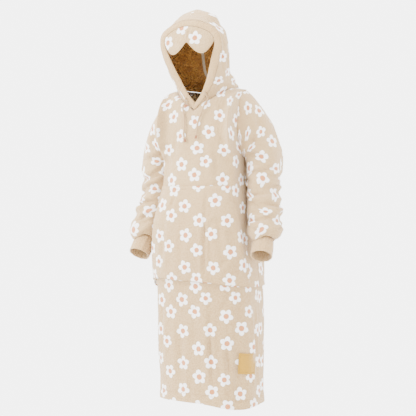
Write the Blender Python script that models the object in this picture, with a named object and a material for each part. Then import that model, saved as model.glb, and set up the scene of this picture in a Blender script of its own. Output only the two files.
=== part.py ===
"""Extra-long hooded blanket garment, worn form with nobody in it.

Metres, +Z up, front towards -Y, the wearer's left at +X. The origin is where the shoulders carry it:
on the middle plane, level with the shoulder seams.
"""

import math

import bmesh
import bpy
import numpy as np

# Driving dimensions
HEM_HEIGHT = -1.200
TIER_HEIGHT = -0.745
UNDERARM_HEIGHT = -0.258
ARMHOLE_X = 0.152
ARMHOLE_TALL = 0.258
ARMHOLE_HALF_DEEP = 0.082
SHOULDER_Y = 0.015
NECK_HALF_WIDTH = 0.1164
NECK_FRONT_Y = -0.137
NECK_FRONT_Z = -0.084
NECK_BACK_Y = 0.075
CLOTH = 0.0035
HOOD_CLOTH = 0.003
LINING_CLOTH = 0.004
SEAM = 0.0003
CORD_DIAMETER = 0.0065
LABEL_SIDE = 0.078

PANEL_COLUMNS = 16
YOKE_ROWS = 9
SLEEVE_SIDES = 2 * YOKE_ROWS

COLOURS = {
    "fleece": (0.78, 0.68, 0.53),
    "lining": (0.42, 0.24, 0.08),
    "tape": (0.62, 0.55, 0.44),
    "cord": (0.62, 0.50, 0.34),
    "tip": (0.50, 0.28, 0.16),
    "label": (0.75, 0.52, 0.03),
}

BODY_SECTIONS = {
    "height": (-0.775, -0.700, -0.640, -0.560, -0.450, -0.350, -0.258),
    "half_width": (0.214, 0.208, 0.200, 0.180, 0.168, 0.153, 0.152),
    "half_depth": (0.176, 0.174, 0.172, 0.170, 0.168, 0.165, 0.160),
    "squareness": (2.6, 2.6, 2.7, 3.0, 3.1, 2.8, 2.6),
    "centre_x": (0.0, 0.0, 0.0, 0.0, 0.0, 0.0, 0.0),
    "centre_y": (0.0, 0.0, 0.0, 0.0, 0.0, 0.0, 0.0),
}
# The same sections a wall and a seam's gap further in, where the lower tier is sewn inside.
UNDER_BODY = {
    **BODY_SECTIONS,
    "half_width": tuple(size - CLOTH - SEAM for size in BODY_SECTIONS["half_width"]),
    "half_depth": tuple(size - CLOTH - SEAM for size in BODY_SECTIONS["half_depth"]),
}
SKIRT_SECTIONS = {
    "height": (-1.230, -1.100, -0.950, -0.800, -0.700),
    "half_width": (0.203, 0.203, 0.203, 0.202, 0.2005),
    "half_depth": (0.166, 0.166, 0.165, 0.165, 0.165),
    "squareness": (2.5, 2.5, 2.6, 2.6, 2.6),
    "centre_x": (0.008, 0.008, 0.005, 0.002, 0.000),
    "centre_y": (0.012, 0.012, 0.006, 0.002, 0.000),
}
# A dip or rise of an edge at each turn about the body, in degrees from the front towards the left.
TIER_EDGE = {
    "turn": (-180, -135, -90, -45, 0, 45, 90, 135, 180),
    "rise": (-0.008, -0.012, -0.024, 0.018, 0.012, -0.006, -0.010, -0.004, -0.008),
}
HEM_EDGE = {
    "turn": (-180, -135, -90, -45, 0, 45, 90, 135, 180),
    "rise": (-0.004, 0.002, 0.004, 0.006, 0.004, -0.018, -0.008, 0.000, -0.004),
}
# Soft vertical folds: where, how wide, how far out, and between which heights.
BODY_FOLDS = {
    "turn": (-58, 17, 34, 58, -20, 122, -122, 160, -155, 61, -61),
    "spread": (14, 5, 9, 12, 12, 13, 13, 11, 12, 11, 11),
    "out": (0.012, -0.005, 0.004, 0.008, 0.004, 0.010, 0.010, 0.006, 0.005, 0.012, 0.012),
    "top": (-0.36, -0.40, -0.45, -0.38, -0.50, -0.36, -0.36, -0.20, -0.25, -0.14, -0.14),
    "bottom": (-0.72, -0.76, -0.78, -0.72, -0.78, -0.74, -0.74, -0.76, -0.76, -0.44, -0.44),
}
SKIRT_FOLDS = {
    "turn": (20, 47, 66, -35, -74, 110, -115, 150, -165),
    "spread": (6, 6, 10, 12, 9, 10, 12, 9, 11),
    "out": (-0.005, -0.009, 0.005, 0.004, -0.004, -0.008, 0.005, 0.006, -0.006),
    "top": (-0.74, -0.90, -0.80, -0.80, -0.95, -0.85, -0.80, -0.80, -0.85),
    "bottom": (-1.24, -1.30, -1.26, -1.26, -1.28, -1.30, -1.26, -1.26, -1.30),
}
POCKET_EDGE = {
    "height": (-0.760, -0.560, -0.530, -0.500, -0.465, -0.430, -0.395, -0.372),
    "half_reach": (0.760, 0.760, 0.735, 0.695, 0.655, 0.625, 0.610, 0.605),
}
POCKET_PUFF = 0.014
# The sleeve below the underarm, on the left: its centre line and half sizes at creases and rolls.
SLEEVE_ROLLS = {
    "drop": (0.272, 0.300, 0.325, 0.343, 0.366, 0.387, 0.411, 0.436, 0.468, 0.502, 0.530, 0.552, 0.566),
    "centre_x": (0.2250, 0.226, 0.226, 0.224, 0.224, 0.225, 0.230, 0.232, 0.240, 0.242, 0.249, 0.253, 0.253),
    "centre_y": (0.021, 0.019, 0.016, 0.012, 0.010, 0.006, 0.001, -0.006, -0.014, -0.026, -0.037, -0.048, -0.054),
    "half_wide": (0.069, 0.067, 0.067, 0.059, 0.066, 0.059, 0.066, 0.059, 0.067, 0.059, 0.067, 0.064, 0.052),
    "half_deep": (0.080, 0.081, 0.081, 0.073, 0.080, 0.071, 0.078, 0.069, 0.075, 0.065, 0.070, 0.064, 0.052),
    "tilt": (0.0, 0.003, 0.010, 0.012, 0.007, -0.004, -0.008, -0.006, 0.007, 0.012, 0.009, 0.004, 0.000),
}
CUFF_START = (0.2520, -0.058, -0.575)
CUFF_RUN = (0.0080, -0.0400, -0.0600)
CUFF_RADIUS_TOP = 0.0385
CUFF_RADIUS_END = 0.0400
# The hood's opening and the outer edge of its plain band, from the neck's front to the top.
OPENING = {
    "along": (0.00, 0.12, 0.25, 0.38, 0.50, 0.64, 0.76, 0.87, 0.96, 1.00),
    "x": (0.000, 0.024, 0.047, 0.069, 0.086, 0.103, 0.095, 0.062, 0.020, 0.000),
    "y": (-0.126, -0.132, -0.139, -0.154, -0.168, -0.178, -0.186, -0.192, -0.197, -0.197),
    "z": (-0.052, -0.023, 0.020, 0.070, 0.114, 0.166, 0.196, 0.217, 0.229, 0.2305),
    "edge_x": (0.000, 0.041, 0.072, 0.097, 0.116, 0.1290, 0.117, 0.075, 0.025, 0.000),
    "edge_y": (-0.1365, -0.133, -0.134, -0.147, -0.160, -0.169, -0.177, -0.184, -0.190, -0.190),
    "edge_z": (-0.0835, -0.036, 0.010, 0.062, 0.107, 0.170, 0.211, 0.238, 0.2525, 0.2540),
}
HOOD_SECTIONS = {
    "along": (0.00, 0.12, 0.28, 0.44, 0.60, 0.74, 0.86, 0.95, 1.00),
    "side_x": (0.1164, 0.122, 0.1265, 0.1295, 0.1310, 0.117, 0.089, 0.058, 0.000),
    "side_y": (0.015, -0.005, -0.038, -0.068, -0.094, -0.106, -0.110, -0.112, -0.115),
    "side_z": (0.012, 0.028, 0.062, 0.108, 0.160, 0.214, 0.257, 0.289, 0.308),
    "back_y": (0.075, 0.064, 0.040, 0.020, 0.008, -0.002, -0.018, -0.038, -0.065),
    "back_z": (0.000, 0.030, 0.068, 0.116, 0.172, 0.224, 0.264, 0.290, 0.306),
}
MASK_EDGE = {
    "across": (-1.0, -0.86, -0.64, -0.40, -0.18, 0.0, 0.18, 0.40, 0.64, 0.86, 1.0),
    "z": (0.165, 0.142, 0.126, 0.132, 0.151, 0.168, 0.151, 0.132, 0.126, 0.142, 0.165),
}
MASK_HALF_WIDTH = 0.0995
MASK_THICK = 0.005
# Each drawstring: where along the band it comes out, then its way down the chest.
DRAWSTRINGS = {
    "right": {
        "exit": 0.11,
        "x": (-0.036, -0.038, -0.034, -0.030, -0.028, -0.031, -0.027),
        "z": (-0.050, -0.070, -0.094, -0.120, -0.148, -0.172, -0.192),
    },
    "left": {
        "exit": 0.17,
        "x": (0.053, 0.051, 0.041, 0.032, 0.026, 0.025, 0.022),
        "z": (-0.038, -0.062, -0.090, -0.118, -0.142, -0.162, -0.180),
    },
}
CORD_EXIT_SHARE = 0.72
CORD_HOLE_GAP = 0.0014
CORD_OFF_CHEST = 0.0085
CORD_OFF_HOOD = 0.0135
TIP_LENGTH = 0.012
LABEL_TURN = 64.0
LABEL_HEIGHT = -1.045
LABEL_TILT = 5.0
LABEL_THICK = 0.0016
LABEL_CLEAR = 0.0024
BODY_ROWS = 12
SKIRT_ROWS = 11
TIER_TUCK = 0.016
TIER_SHOW = 0.010
POCKET_TUCK = 0.002
POCKET_CLEAR = 0.0016
SLEEVE_FAN = (90.0, 80.0, 69.0, 57.0, 44.0, 30.0, 15.0)
EDGE_COLUMNS = ("edge_x", "edge_y", "edge_z")
RIM_START = 0.03
NECK_CLEAR = 0.0012
BAND_CLEAR = 0.0022
HOOD_ROWS = 14
HOOD_SIDE_COLUMNS = 8
HOOD_LEAN = -0.030
TAPE_WIDTH = 0.011
TAPE_THICK = 0.0012
TAPE_CLEAR = 0.0011
BAND_STEPS = 22
BAND_THICK = 0.009
MASK_CLEAR = 0.0012
CORD_POINTS = 14


def clear_scene():
    for thing in list(bpy.data.objects):
        bpy.data.objects.remove(thing, do_unlink=True)


def material(name):
    found = bpy.data.materials.get(name)
    if found:
        return found
    made = bpy.data.materials.new(name)
    made.use_nodes = True
    shader = made.node_tree.nodes["Principled BSDF"]
    shader.inputs["Base Color"].default_value = (*COLOURS[name], 1.0)
    shader.inputs["Roughness"].default_value = 0.95
    shader.inputs["Metallic"].default_value = 0.0
    return made


def read_table(table, key, column, where):
    """A smooth curve through one column of a table, read at one place or many."""
    at = np.asarray(table[key], float)
    value = np.asarray(table[column], float)
    slope = np.gradient(value, at)
    place = np.clip(np.asarray(where, float), at[0], at[-1])
    left = np.clip(np.searchsorted(at, place, side="right") - 1, 0, len(at) - 2)
    span = at[left + 1] - at[left]
    part = (place - at[left]) / span
    rest = 1.0 - part
    ends = value[left] * (1 + 2 * part) * rest**2 + value[left + 1] * (3 - 2 * part) * part**2
    return ends + span * (slope[left] * part * rest**2 - slope[left + 1] * rest * part**2)


def smooth_step(value):
    value = np.clip(value, 0.0, 1.0)
    return value * value * (3.0 - 2.0 * value)


def unit(vectors):
    return vectors / np.maximum(np.linalg.norm(vectors, axis=-1, keepdims=True), 1e-12)


def grid_normals(points, closed=False):
    """Normals of a grid whose columns run to the wearer's left and whose rows run up."""
    if closed:
        across = np.roll(points, -1, axis=1) - np.roll(points, 1, axis=1)
    else:
        across = np.gradient(points, axis=1)
    return unit(np.cross(across, np.gradient(points, axis=0)))


def link(name, mesh, colour):
    made = bpy.data.objects.new(name, mesh)
    made.data.materials.append(material(colour))
    bpy.data.collections["hoodie"].objects.link(made)
    return made


def wall(name, outer, inner, colour, closed_across=False):
    """Cloth between two grids of points with the same rows and columns."""
    rows, columns = outer.shape[:2]
    built = bmesh.new()
    skins = []
    for skin in (outer, inner):
        skins.append([[built.verts.new(point) for point in row] for row in skin])
    row_pairs = [(i, i + 1) for i in range(rows - 1)]
    column_pairs = [(j, (j + 1) % columns) for j in range(columns if closed_across else columns - 1)]
    for skin in skins:
        for i, above in row_pairs:
            for j, beside in column_pairs:
                built.faces.new((skin[i][j], skin[i][beside], skin[above][beside], skin[above][j]))
    for i in (0, rows - 1):
        for j, beside in column_pairs:
            built.faces.new((skins[0][i][j], skins[0][i][beside], skins[1][i][beside], skins[1][i][j]))
    if not closed_across:
        for j in (0, columns - 1):
            for i, above in row_pairs:
                built.faces.new((skins[0][i][j], skins[0][above][j], skins[1][above][j], skins[1][i][j]))
    bmesh.ops.recalc_face_normals(built, faces=built.faces)
    mesh = bpy.data.meshes.new(name)
    built.to_mesh(mesh)
    built.free()
    mesh.shade_smooth()
    mesh.set_sharp_from_angle(angle=math.radians(50))
    return link(name, mesh, colour)


def fold_out(folds, turn, height):
    """How far the folds stand out at a turn about the body, in degrees, and a height."""
    total = np.zeros(np.broadcast(turn, height).shape)
    for centre, spread, out, top, bottom in zip(*folds.values()):
        away = (turn - centre + 180.0) % 360.0 - 180.0
        middle = (top + bottom) / 2
        reach = (top - bottom) / 2
        along = np.clip(1.0 - ((height - middle) / reach) ** 2, 0.0, 1.0)
        total = total + out * along * np.exp(-((away / spread) ** 2))
    return total


def ring_points(sections, folds, turn, height):
    """Points round the body at turns in degrees from the front, with its folds."""
    half_width = read_table(sections, "height", "half_width", height)
    half_depth = read_table(sections, "height", "half_depth", height)
    power = 2.0 / read_table(sections, "height", "squareness", height)
    angle = np.radians(turn)
    across = np.sign(np.sin(angle)) * np.abs(np.sin(angle)) ** power
    forward = -np.sign(np.cos(angle)) * np.abs(np.cos(angle)) ** power
    out = fold_out(folds, turn, height)
    x = across * (half_width + out) + read_table(sections, "height", "centre_x", height)
    y = forward * (half_depth + out) + read_table(sections, "height", "centre_y", height)
    return np.stack(np.broadcast_arrays(x, y, height), axis=-1)


def edge_height(base, edge, turn):
    return base + read_table(edge, "turn", "rise", (turn + 180.0) % 360.0 - 180.0)


def neck_points(across, front):
    """The neckline for x between the two neck points: in front it drops to a V."""
    share = np.clip(np.abs(across) / NECK_HALF_WIDTH, 0.0, 1.0)
    lift = 1.0 - share
    if front:
        y = SHOULDER_Y + (NECK_FRONT_Y - SHOULDER_Y) * (1.0 - share**2.0) ** 0.62
        z = 0.012 + (NECK_FRONT_Z - 0.012) * lift**0.85
    else:
        y = SHOULDER_Y + (NECK_BACK_Y - SHOULDER_Y) * (1.0 - share**2.2) ** 0.6
        z = 0.012 - 0.012 * lift**0.6
    return np.stack([across, y, z], axis=-1)


def yoke_grid(base, front):
    """The panel above the underarm: armhole edges at the sides, shoulder seam and neckline on top."""
    sign = -1.0 if front else 1.0
    share = base[:, 0] / ARMHOLE_X
    top = np.empty_like(base)
    in_neck = np.abs(base[:, 0]) < NECK_HALF_WIDTH - 1e-4
    outside = np.clip((np.abs(base[:, 0]) - NECK_HALF_WIDTH) / (ARMHOLE_X - NECK_HALF_WIDTH), 0.0, 1.0)
    top[:, 0] = base[:, 0]
    top[:, 1] = SHOULDER_Y
    top[:, 2] = 0.012 - 0.012 * outside
    top[in_neck] = neck_points(base[in_neck, 0], front)
    rows = []
    for step in range(1, YOKE_ROWS + 1):
        part = step / YOKE_ROWS
        climb = math.sin(math.pi * part / 2) ** 2
        depth = (1.0 - climb**3.0) ** (1.0 / 3.0)
        row = np.empty_like(base)
        row[:, 0] = base[:, 0]
        row[:, 2] = base[:, 2] + (top[:, 2] - base[:, 2]) * climb
        row[:, 1] = top[:, 1] + (base[:, 1] - top[:, 1]) * depth
        row[:, 1] += sign * ARMHOLE_HALF_DEEP * math.sin(math.pi * part) * np.abs(share) ** 6
        rows.append(row)
    return np.array(rows)


def half_ring_turns(start):
    """Turns of a front or back panel's columns, from one side seam to the other."""
    turn = start + np.linspace(0.0, 180.0, PANEL_COLUMNS + 1)
    return (turn + 180.0) % 360.0 - 180.0


def body_grid(front):
    """Outer points of the front or back panel, rows from the tier's edge up to the shoulders."""
    turn = half_ring_turns(-90.0 if front else 90.0)
    low = edge_height(TIER_HEIGHT, TIER_EDGE, turn)
    rows = []
    for part in np.linspace(0.0, 1.0, BODY_ROWS):
        height = low + (UNDERARM_HEIGHT - low) * part
        rows.append(ring_points(BODY_SECTIONS, BODY_FOLDS, turn, height))
    rows = np.array(rows)
    return np.concatenate([rows, yoke_grid(rows[-1], front)])


def seam_gaps(skin):
    """The grid with its side columns moved in by half a seam's gap."""
    skin[:, 0] += unit(skin[:, 1] - skin[:, 0]) * SEAM / 2
    skin[:, -1] += unit(skin[:, -2] - skin[:, -1]) * SEAM / 2
    return skin


def body_panels():
    for name, front in (("front_body", True), ("back_body", False)):
        outer = body_grid(front)
        normal = grid_normals(outer)
        for side in (0, -1):
            normal[:BODY_ROWS, side, 1] = 0.0
            normal[BODY_ROWS:, side, 0] = 0.0
        shoulder = np.abs(outer[-1, :, 0]) >= NECK_HALF_WIDTH - 1e-4
        normal[-1, shoulder, 1] = 0.0
        inner = outer - unit(normal) * CLOTH
        for skin in (outer, inner):
            seam_gaps(skin)
            skin[-1] += unit(skin[-2] - skin[-1]) * SEAM / 2
        wall(name, outer, inner, "fleece")


def skirt_panels():
    for name, start in (("front_skirt", -90.0), ("back_skirt", 90.0)):
        turn = half_ring_turns(start)
        low = edge_height(HEM_HEIGHT, HEM_EDGE, turn)
        edge = edge_height(TIER_HEIGHT, TIER_EDGE, turn)
        rows = []
        for part in np.linspace(0.0, 1.0, SKIRT_ROWS):
            height = low + (edge - TIER_SHOW - low) * part
            rows.append(ring_points(SKIRT_SECTIONS, SKIRT_FOLDS, turn, height))
        for height in (edge + TIER_TUCK / 4, edge + TIER_TUCK):
            rows.append(ring_points(UNDER_BODY, BODY_FOLDS, turn, height))
        outer = np.array(rows)
        normal = grid_normals(outer)
        for side in (0, -1):
            normal[:, side, 1] = 0.0
        inner = outer - unit(normal) * CLOTH
        wall(name, seam_gaps(outer), seam_gaps(inner), "fleece")


def pocket():
    share = np.linspace(-1.0, 1.0, 15)
    rows = []
    puffs = []
    for part in np.linspace(0.0, 1.0, 11):
        low = edge_height(TIER_HEIGHT, TIER_EDGE, 60.0 * share) + POCKET_TUCK
        height = low + (POCKET_EDGE["height"][-1] - low) * part
        turn = 90.0 * share * read_table(POCKET_EDGE, "height", "half_reach", height)
        rows.append(ring_points(BODY_SECTIONS, BODY_FOLDS, turn, height))
        puffs.append(math.sin(math.pi * part) ** 0.7 * (1.0 - 0.55 * share**4))
    surface = np.array(rows)
    puff = (POCKET_CLEAR + POCKET_PUFF * np.array(puffs))[..., None]
    normal = grid_normals(surface)
    wall("pocket", surface + normal * (puff + CLOTH), surface + normal * puff, "fleece")


def fan_reach(angle):
    """Length of a sleeve section through the underarm, by its angle above level in degrees."""
    rise = max(0.0, (angle - 20.0) / 70.0)
    return 0.141 + (ARMHOLE_TALL - 0.141) * rise**2.1


def tilted_ring(centre, along, radius, around):
    """A round ring square to a direction, its first point nearest the left and its second in front."""
    along = unit(np.array(along))
    left = unit(np.array((1.0, 0.0, 0.0)) - along[0] * along)
    back = np.cross(along, left)
    back = back if back[1] > 0 else -back
    return np.array(centre) + radius * (np.outer(np.cos(around), left) - np.outer(np.sin(around), back))


def sleeve_rings(around):
    """Rings of the left sleeve, from the armhole down to the cuff."""
    rings = []
    for angle in SLEEVE_FAN:
        reach = fan_reach(angle)
        turned = math.radians(angle)
        late = 1.0 - angle / 90.0
        pivot = np.array([ARMHOLE_X + SEAM + 0.003 * late, 0.0, UNDERARM_HEIGHT - 0.010 * late])
        up = np.array([math.cos(turned), 0.0, math.sin(turned)])
        climb = (1.0 + np.cos(around)) / 2
        back = SHOULDER_Y * (1.0 - (1.0 - climb**3) ** (1 / 3)) * (1.0 - late) + 0.021 * late
        deep = ARMHOLE_HALF_DEEP * (1.0 - late) + SLEEVE_ROLLS["half_deep"][0] * late
        depth = back - deep * np.sin(around)
        rings.append(pivot + np.outer(reach * climb, up) + np.outer(depth, (0.0, 1.0, 0.0)))
    drops = np.array(SLEEVE_ROLLS["drop"])
    for drop in np.sort(np.concatenate([drops, (drops[1:] + drops[:-1]) / 2])):
        centre_x, centre_y, wide, deep, tilt = (
            float(read_table(SLEEVE_ROLLS, "drop", column, drop))
            for column in ("centre_x", "centre_y", "half_wide", "half_deep", "tilt")
        )
        x = centre_x + wide * np.cos(around)
        y = centre_y - deep * np.sin(around)
        rings.append(np.stack([x, y, -drop + tilt * np.cos(around - 0.9)], axis=-1))
    run = unit(np.array(CUFF_RUN))
    rings.append(tilted_ring(CUFF_START - run * SEAM, run, CUFF_RADIUS_TOP, around))
    return np.array(rings)


def sleeves_and_cuffs():
    around = np.arange(SLEEVE_SIDES) * 2 * math.pi / SLEEVE_SIDES
    sleeve = sleeve_rings(around)
    cuff = np.array(
        [
            tilted_ring(
                np.array(CUFF_START) + np.array(CUFF_RUN) * part,
                CUFF_RUN,
                CUFF_RADIUS_TOP + (CUFF_RADIUS_END - CUFF_RADIUS_TOP) * part + 0.002 * math.sin(math.pi * part),
                around,
            )
            for part in np.linspace(0.0, 1.0, 6)
        ]
    )
    for side, sign in (("left", 1.0), ("right", -1.0)):
        mirror = np.array((sign, 1.0, 1.0))
        for name, outer in (("sleeve", sleeve), ("cuff", cuff)):
            normal = grid_normals(outer, closed=True)
            if name == "sleeve":
                normal[0, :, 0] = 0.0
            inner = outer - unit(normal) * CLOTH
            wall(f"{name}_{side}", outer * mirror, inner * mirror, "fleece", closed_across=True)


def hood_grid():
    """Outer points of the hood's left half, rows from the neck up to the seam over the top."""
    rows = []
    for along in np.linspace(0.0, 1.0, HOOD_ROWS):
        rim = [float(read_table(OPENING, "along", c, RIM_START + (1 - RIM_START) * along)) for c in EDGE_COLUMNS]
        side = [float(read_table(HOOD_SECTIONS, "along", c, along)) for c in ("side_x", "side_y", "side_z")]
        back = [float(read_table(HOOD_SECTIONS, "along", c, along)) for c in ("back_y", "back_z")]
        first = min(rim[0] / side[0], 0.985) if side[0] > 1e-4 else 0.4
        part = np.linspace(0.0, 1.0, HOOD_SIDE_COLUMNS)
        share = first + (1.0 - first) * np.sin(math.pi / 2 * part)
        drawn = ((1.0 - share**2) / (1.0 - first**2)) ** 0.62
        y = side[1] + (rim[1] - side[1]) * drawn
        z = side[2] + (rim[2] - side[2]) * (1.0 - (1.0 - drawn) ** 0.75)
        front_part = np.stack([share * side[0], y, z], axis=-1)
        swing = math.pi / 2 * part[1:]
        y = side[1] + (back[0] - side[1]) * np.sin(swing) ** 0.9
        z = side[2] + (back[1] - side[2]) * np.sin(swing) ** 2
        back_part = np.stack([side[0] * np.abs(np.cos(swing)) ** 0.9, y, z], axis=-1)
        back_part[-1, 0] = 0.0
        if along == 0.0:
            front_part = neck_points(front_part[:, 0], True)
            back_part = neck_points(back_part[:, 0], False)
        rows.append(np.concatenate([front_part, back_part]))
    grid = np.array(rows)
    grid[0, :, 2] += NECK_CLEAR
    edge = unit(grid[:, 1] - grid[:, 0])
    grid[:, 0] += edge * BAND_CLEAR
    return grid


def hood_lean(points):
    """The hood's back hangs a little towards the wearer's right, clear of the neck and the opening."""
    lean = smooth_step((points[..., 1] + 0.13) / 0.11) * smooth_step(points[..., 2] / 0.09)
    moved = points.copy()
    moved[..., 0] += HOOD_LEAN * lean
    return moved


def hood():
    outer = hood_grid()
    normal = grid_normals(outer)
    normal[:, -1, 0] = 0.0
    normal[-1, :, 0] = 0.0
    normal = unit(normal)
    normal[-1, -1] = unit(normal[-2, -1] + normal[-1, -2])
    lining_out = HOOD_CLOTH + SEAM
    lining_in = lining_out + LINING_CLOTH
    for side, sign in (("left", 1.0), ("right", -1.0)):
        for name, depths, colour in (
            ("hood", (0.0, HOOD_CLOTH), "fleece"),
            ("hood_lining", (lining_out, lining_in), "lining"),
        ):
            skins = []
            for depth in depths:
                skin = outer - normal * depth
                skin[..., 0] = np.maximum(skin[..., 0], SEAM / 2) * sign
                skins.append(hood_lean(skin))
            wall(f"{name}_{side}", skins[0], skins[1], colour)
    hood_tape(outer - normal * (lining_in + TAPE_CLEAR), normal)


def hood_tape(inside, normal):
    """The pale tape over the lining's middle seam, from the nape up to the crown."""
    path = inside[1:-1, -1]
    outward = normal[1:-1, -1]
    across = np.array((-TAPE_WIDTH / 2, 0.0, TAPE_WIDTH / 2))
    skins = []
    for depth in (0.0, TAPE_THICK):
        middle = path - outward * depth
        skin = np.repeat(middle[:, None], 3, axis=1)
        skin[..., 0] = across
        skins.append(hood_lean(skin))
    wall("hood_seam_tape", skins[0], skins[1], "tape")


def opening_points(along):
    inner = np.stack([read_table(OPENING, "along", c, along) for c in ("x", "y", "z")], axis=-1)
    outer = np.stack([read_table(OPENING, "along", c, along) for c in EDGE_COLUMNS], axis=-1)
    return inner, outer


def hood_band():
    """The plain band round the opening, one ring from the V up over the top and back."""
    along = np.linspace(0.0, 1.0, BAND_STEPS)
    inner, outer = opening_points(along)
    mirror = np.array((-1.0, 1.0, 1.0))
    inner = np.concatenate([inner, (inner * mirror)[-2:0:-1]])
    outer = np.concatenate([outer, (outer * mirror)[-2:0:-1]])
    reach = outer - inner
    out = unit(reach)
    half = reach / 2 - out * SEAM
    middle = inner + half
    track = unit(np.roll(middle, -1, axis=0) - np.roll(middle, 1, axis=0))
    thick = unit(np.cross(out, track)) * BAND_THICK / 2
    angle = np.arange(8) * math.pi / 4
    rings = middle[:, None] + half[:, None] * np.cos(angle)[:, None] + thick[:, None] * np.sin(angle)[:, None]
    solid_ring("hood_band", rings, "fleece")


def solid_ring(name, rings, colour):
    """A closed ring through sections that all have as many points."""
    built = bmesh.new()
    loops = [[built.verts.new(point) for point in ring] for ring in rings]
    for i, loop in enumerate(loops):
        after = loops[(i + 1) % len(loops)]
        for j in range(len(loop)):
            beside = (j + 1) % len(loop)
            built.faces.new((loop[j], loop[beside], after[beside], after[j]))
    bmesh.ops.recalc_face_normals(built, faces=built.faces)
    mesh = bpy.data.meshes.new(name)
    built.to_mesh(mesh)
    built.free()
    mesh.shade_smooth()
    return link(name, mesh, colour)


def eye_mask():
    """The two-lobed flap: its top follows the band's inner edge, its bottom the lobes."""
    share = np.linspace(-1.0, 1.0, 23)
    along = 1.0 - 0.335 * np.abs(share) ** 1.1
    top, _ = opening_points(along)
    top[:, 0] *= np.sign(share)
    middle = np.array((0.0, 0.0, 0.150))
    flat = (top - middle) * np.array((1.0, 0.0, 1.0))
    top -= unit(flat) * MASK_CLEAR
    bottom = np.stack(
        [
            share * MASK_HALF_WIDTH,
            -0.181 - 0.026 * (1.0 - share**2),
            read_table(MASK_EDGE, "across", "z", share),
        ],
        axis=-1,
    )
    part = np.linspace(0.0, 1.0, 6)[:, None, None]
    centre = bottom[None] * (1.0 - part) + top[None] * part
    normal = grid_normals(centre)
    wall("eye_mask", centre + normal * MASK_THICK / 2, centre - normal * MASK_THICK / 2, "fleece")


def chest_y(x, z, grid):
    """Depth of the front panel's outer points at a place above the underarm."""
    yoke = grid[BODY_ROWS - 1 :]
    column = np.interp(x, yoke[0, :, 0], np.arange(yoke.shape[1]))
    left = min(int(column), yoke.shape[1] - 2)
    part = column - left
    line = yoke[:, left] * (1.0 - part) + yoke[:, left + 1] * part
    return float(np.interp(z, line[:, 2], line[:, 1]))


def tube(name, points, diameter, colour):
    curve = bpy.data.curves.new(name, "CURVE")
    curve.dimensions = "3D"
    curve.bevel_depth = diameter / 2
    curve.bevel_resolution = 2
    curve.use_fill_caps = True
    spline = curve.splines.new("POLY")
    spline.points.add(len(points) - 1)
    for place, point in zip(spline.points, points):
        place.co = (*point, 1.0)
    return link(name, curve, colour)


def drawstrings():
    grid = body_grid(True)
    for side, route in DRAWSTRINGS.items():
        sign = 1.0 if side == "left" else -1.0
        inner, outer = (edge[0] for edge in opening_points(np.array([route["exit"]])))
        hole = inner + (outer - inner) * CORD_EXIT_SHARE
        hole[0] *= sign
        hole[1] -= BAND_THICK / 2 + CORD_HOLE_GAP
        bend = hole + np.array((0.0, -CORD_DIAMETER, -0.001))
        stops = [hole, bend]
        for place, (x, z) in enumerate(zip(route["x"], route["z"])):
            off = CORD_OFF_HOOD if place < 2 else CORD_OFF_CHEST
            stops.append(np.array((x, chest_y(x, z, grid) - off, z)))
        stops = np.array(stops)
        length = np.concatenate([[0.0], np.cumsum(np.linalg.norm(np.diff(stops, axis=0), axis=1))])
        table = {"length": length, "x": stops[:, 0], "y": stops[:, 1], "z": stops[:, 2]}
        places = np.linspace(0.0, length[-1], CORD_POINTS)
        points = np.stack([read_table(table, "length", column, places) for column in ("x", "y", "z")], axis=-1)
        tube(f"drawstring_{side}", points, CORD_DIAMETER, "cord")
        run = unit(points[-1] - points[-2])
        start = points[-1] + run * SEAM
        tube(f"cord_tip_{side}", (start, start + run * TIP_LENGTH), CORD_DIAMETER * 1.25, "tip")


def skirt_place(across, up):
    """A point of the front skirt by its distances from the label's middle, and its height."""
    height = LABEL_HEIGHT + up
    turns = half_ring_turns(-90.0)[PANEL_COLUMNS // 2 :]
    line = ring_points(SKIRT_SECTIONS, SKIRT_FOLDS, turns, np.full(turns.shape, height))
    lengths = np.concatenate([[0.0], np.cumsum(np.linalg.norm(np.diff(line, axis=0), axis=1))])
    place = np.interp(LABEL_TURN, turns, lengths) + across
    return [np.interp(place, lengths, line[:, axis]) for axis in range(3)]


def label():
    tilt = math.radians(LABEL_TILT)
    steps = np.linspace(-LABEL_SIDE / 2, LABEL_SIDE / 2, 6)
    surface = np.array(
        [
            [
                skirt_place(a * math.cos(tilt) + b * math.sin(tilt), b * math.cos(tilt) - a * math.sin(tilt))
                for a in steps
            ]
            for b in steps
        ]
    )
    normal = grid_normals(surface)
    clear = normal * LABEL_CLEAR
    wall("label", surface + clear + normal * LABEL_THICK, surface + clear, "label")


def main():
    clear_scene()
    holder = bpy.data.collections.new("hoodie")
    bpy.context.scene.collection.children.link(holder)
    body_panels()
    skirt_panels()
    pocket()
    sleeves_and_cuffs()
    hood()
    hood_band()
    eye_mask()
    drawstrings()
    label()


main()
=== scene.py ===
"""Extra-long hooded plush garment with a flower print: its looks, light and camera.

Metres, +Z up, front towards -Y, the wearer's left at +X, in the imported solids' own frame.
"""

import math

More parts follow.
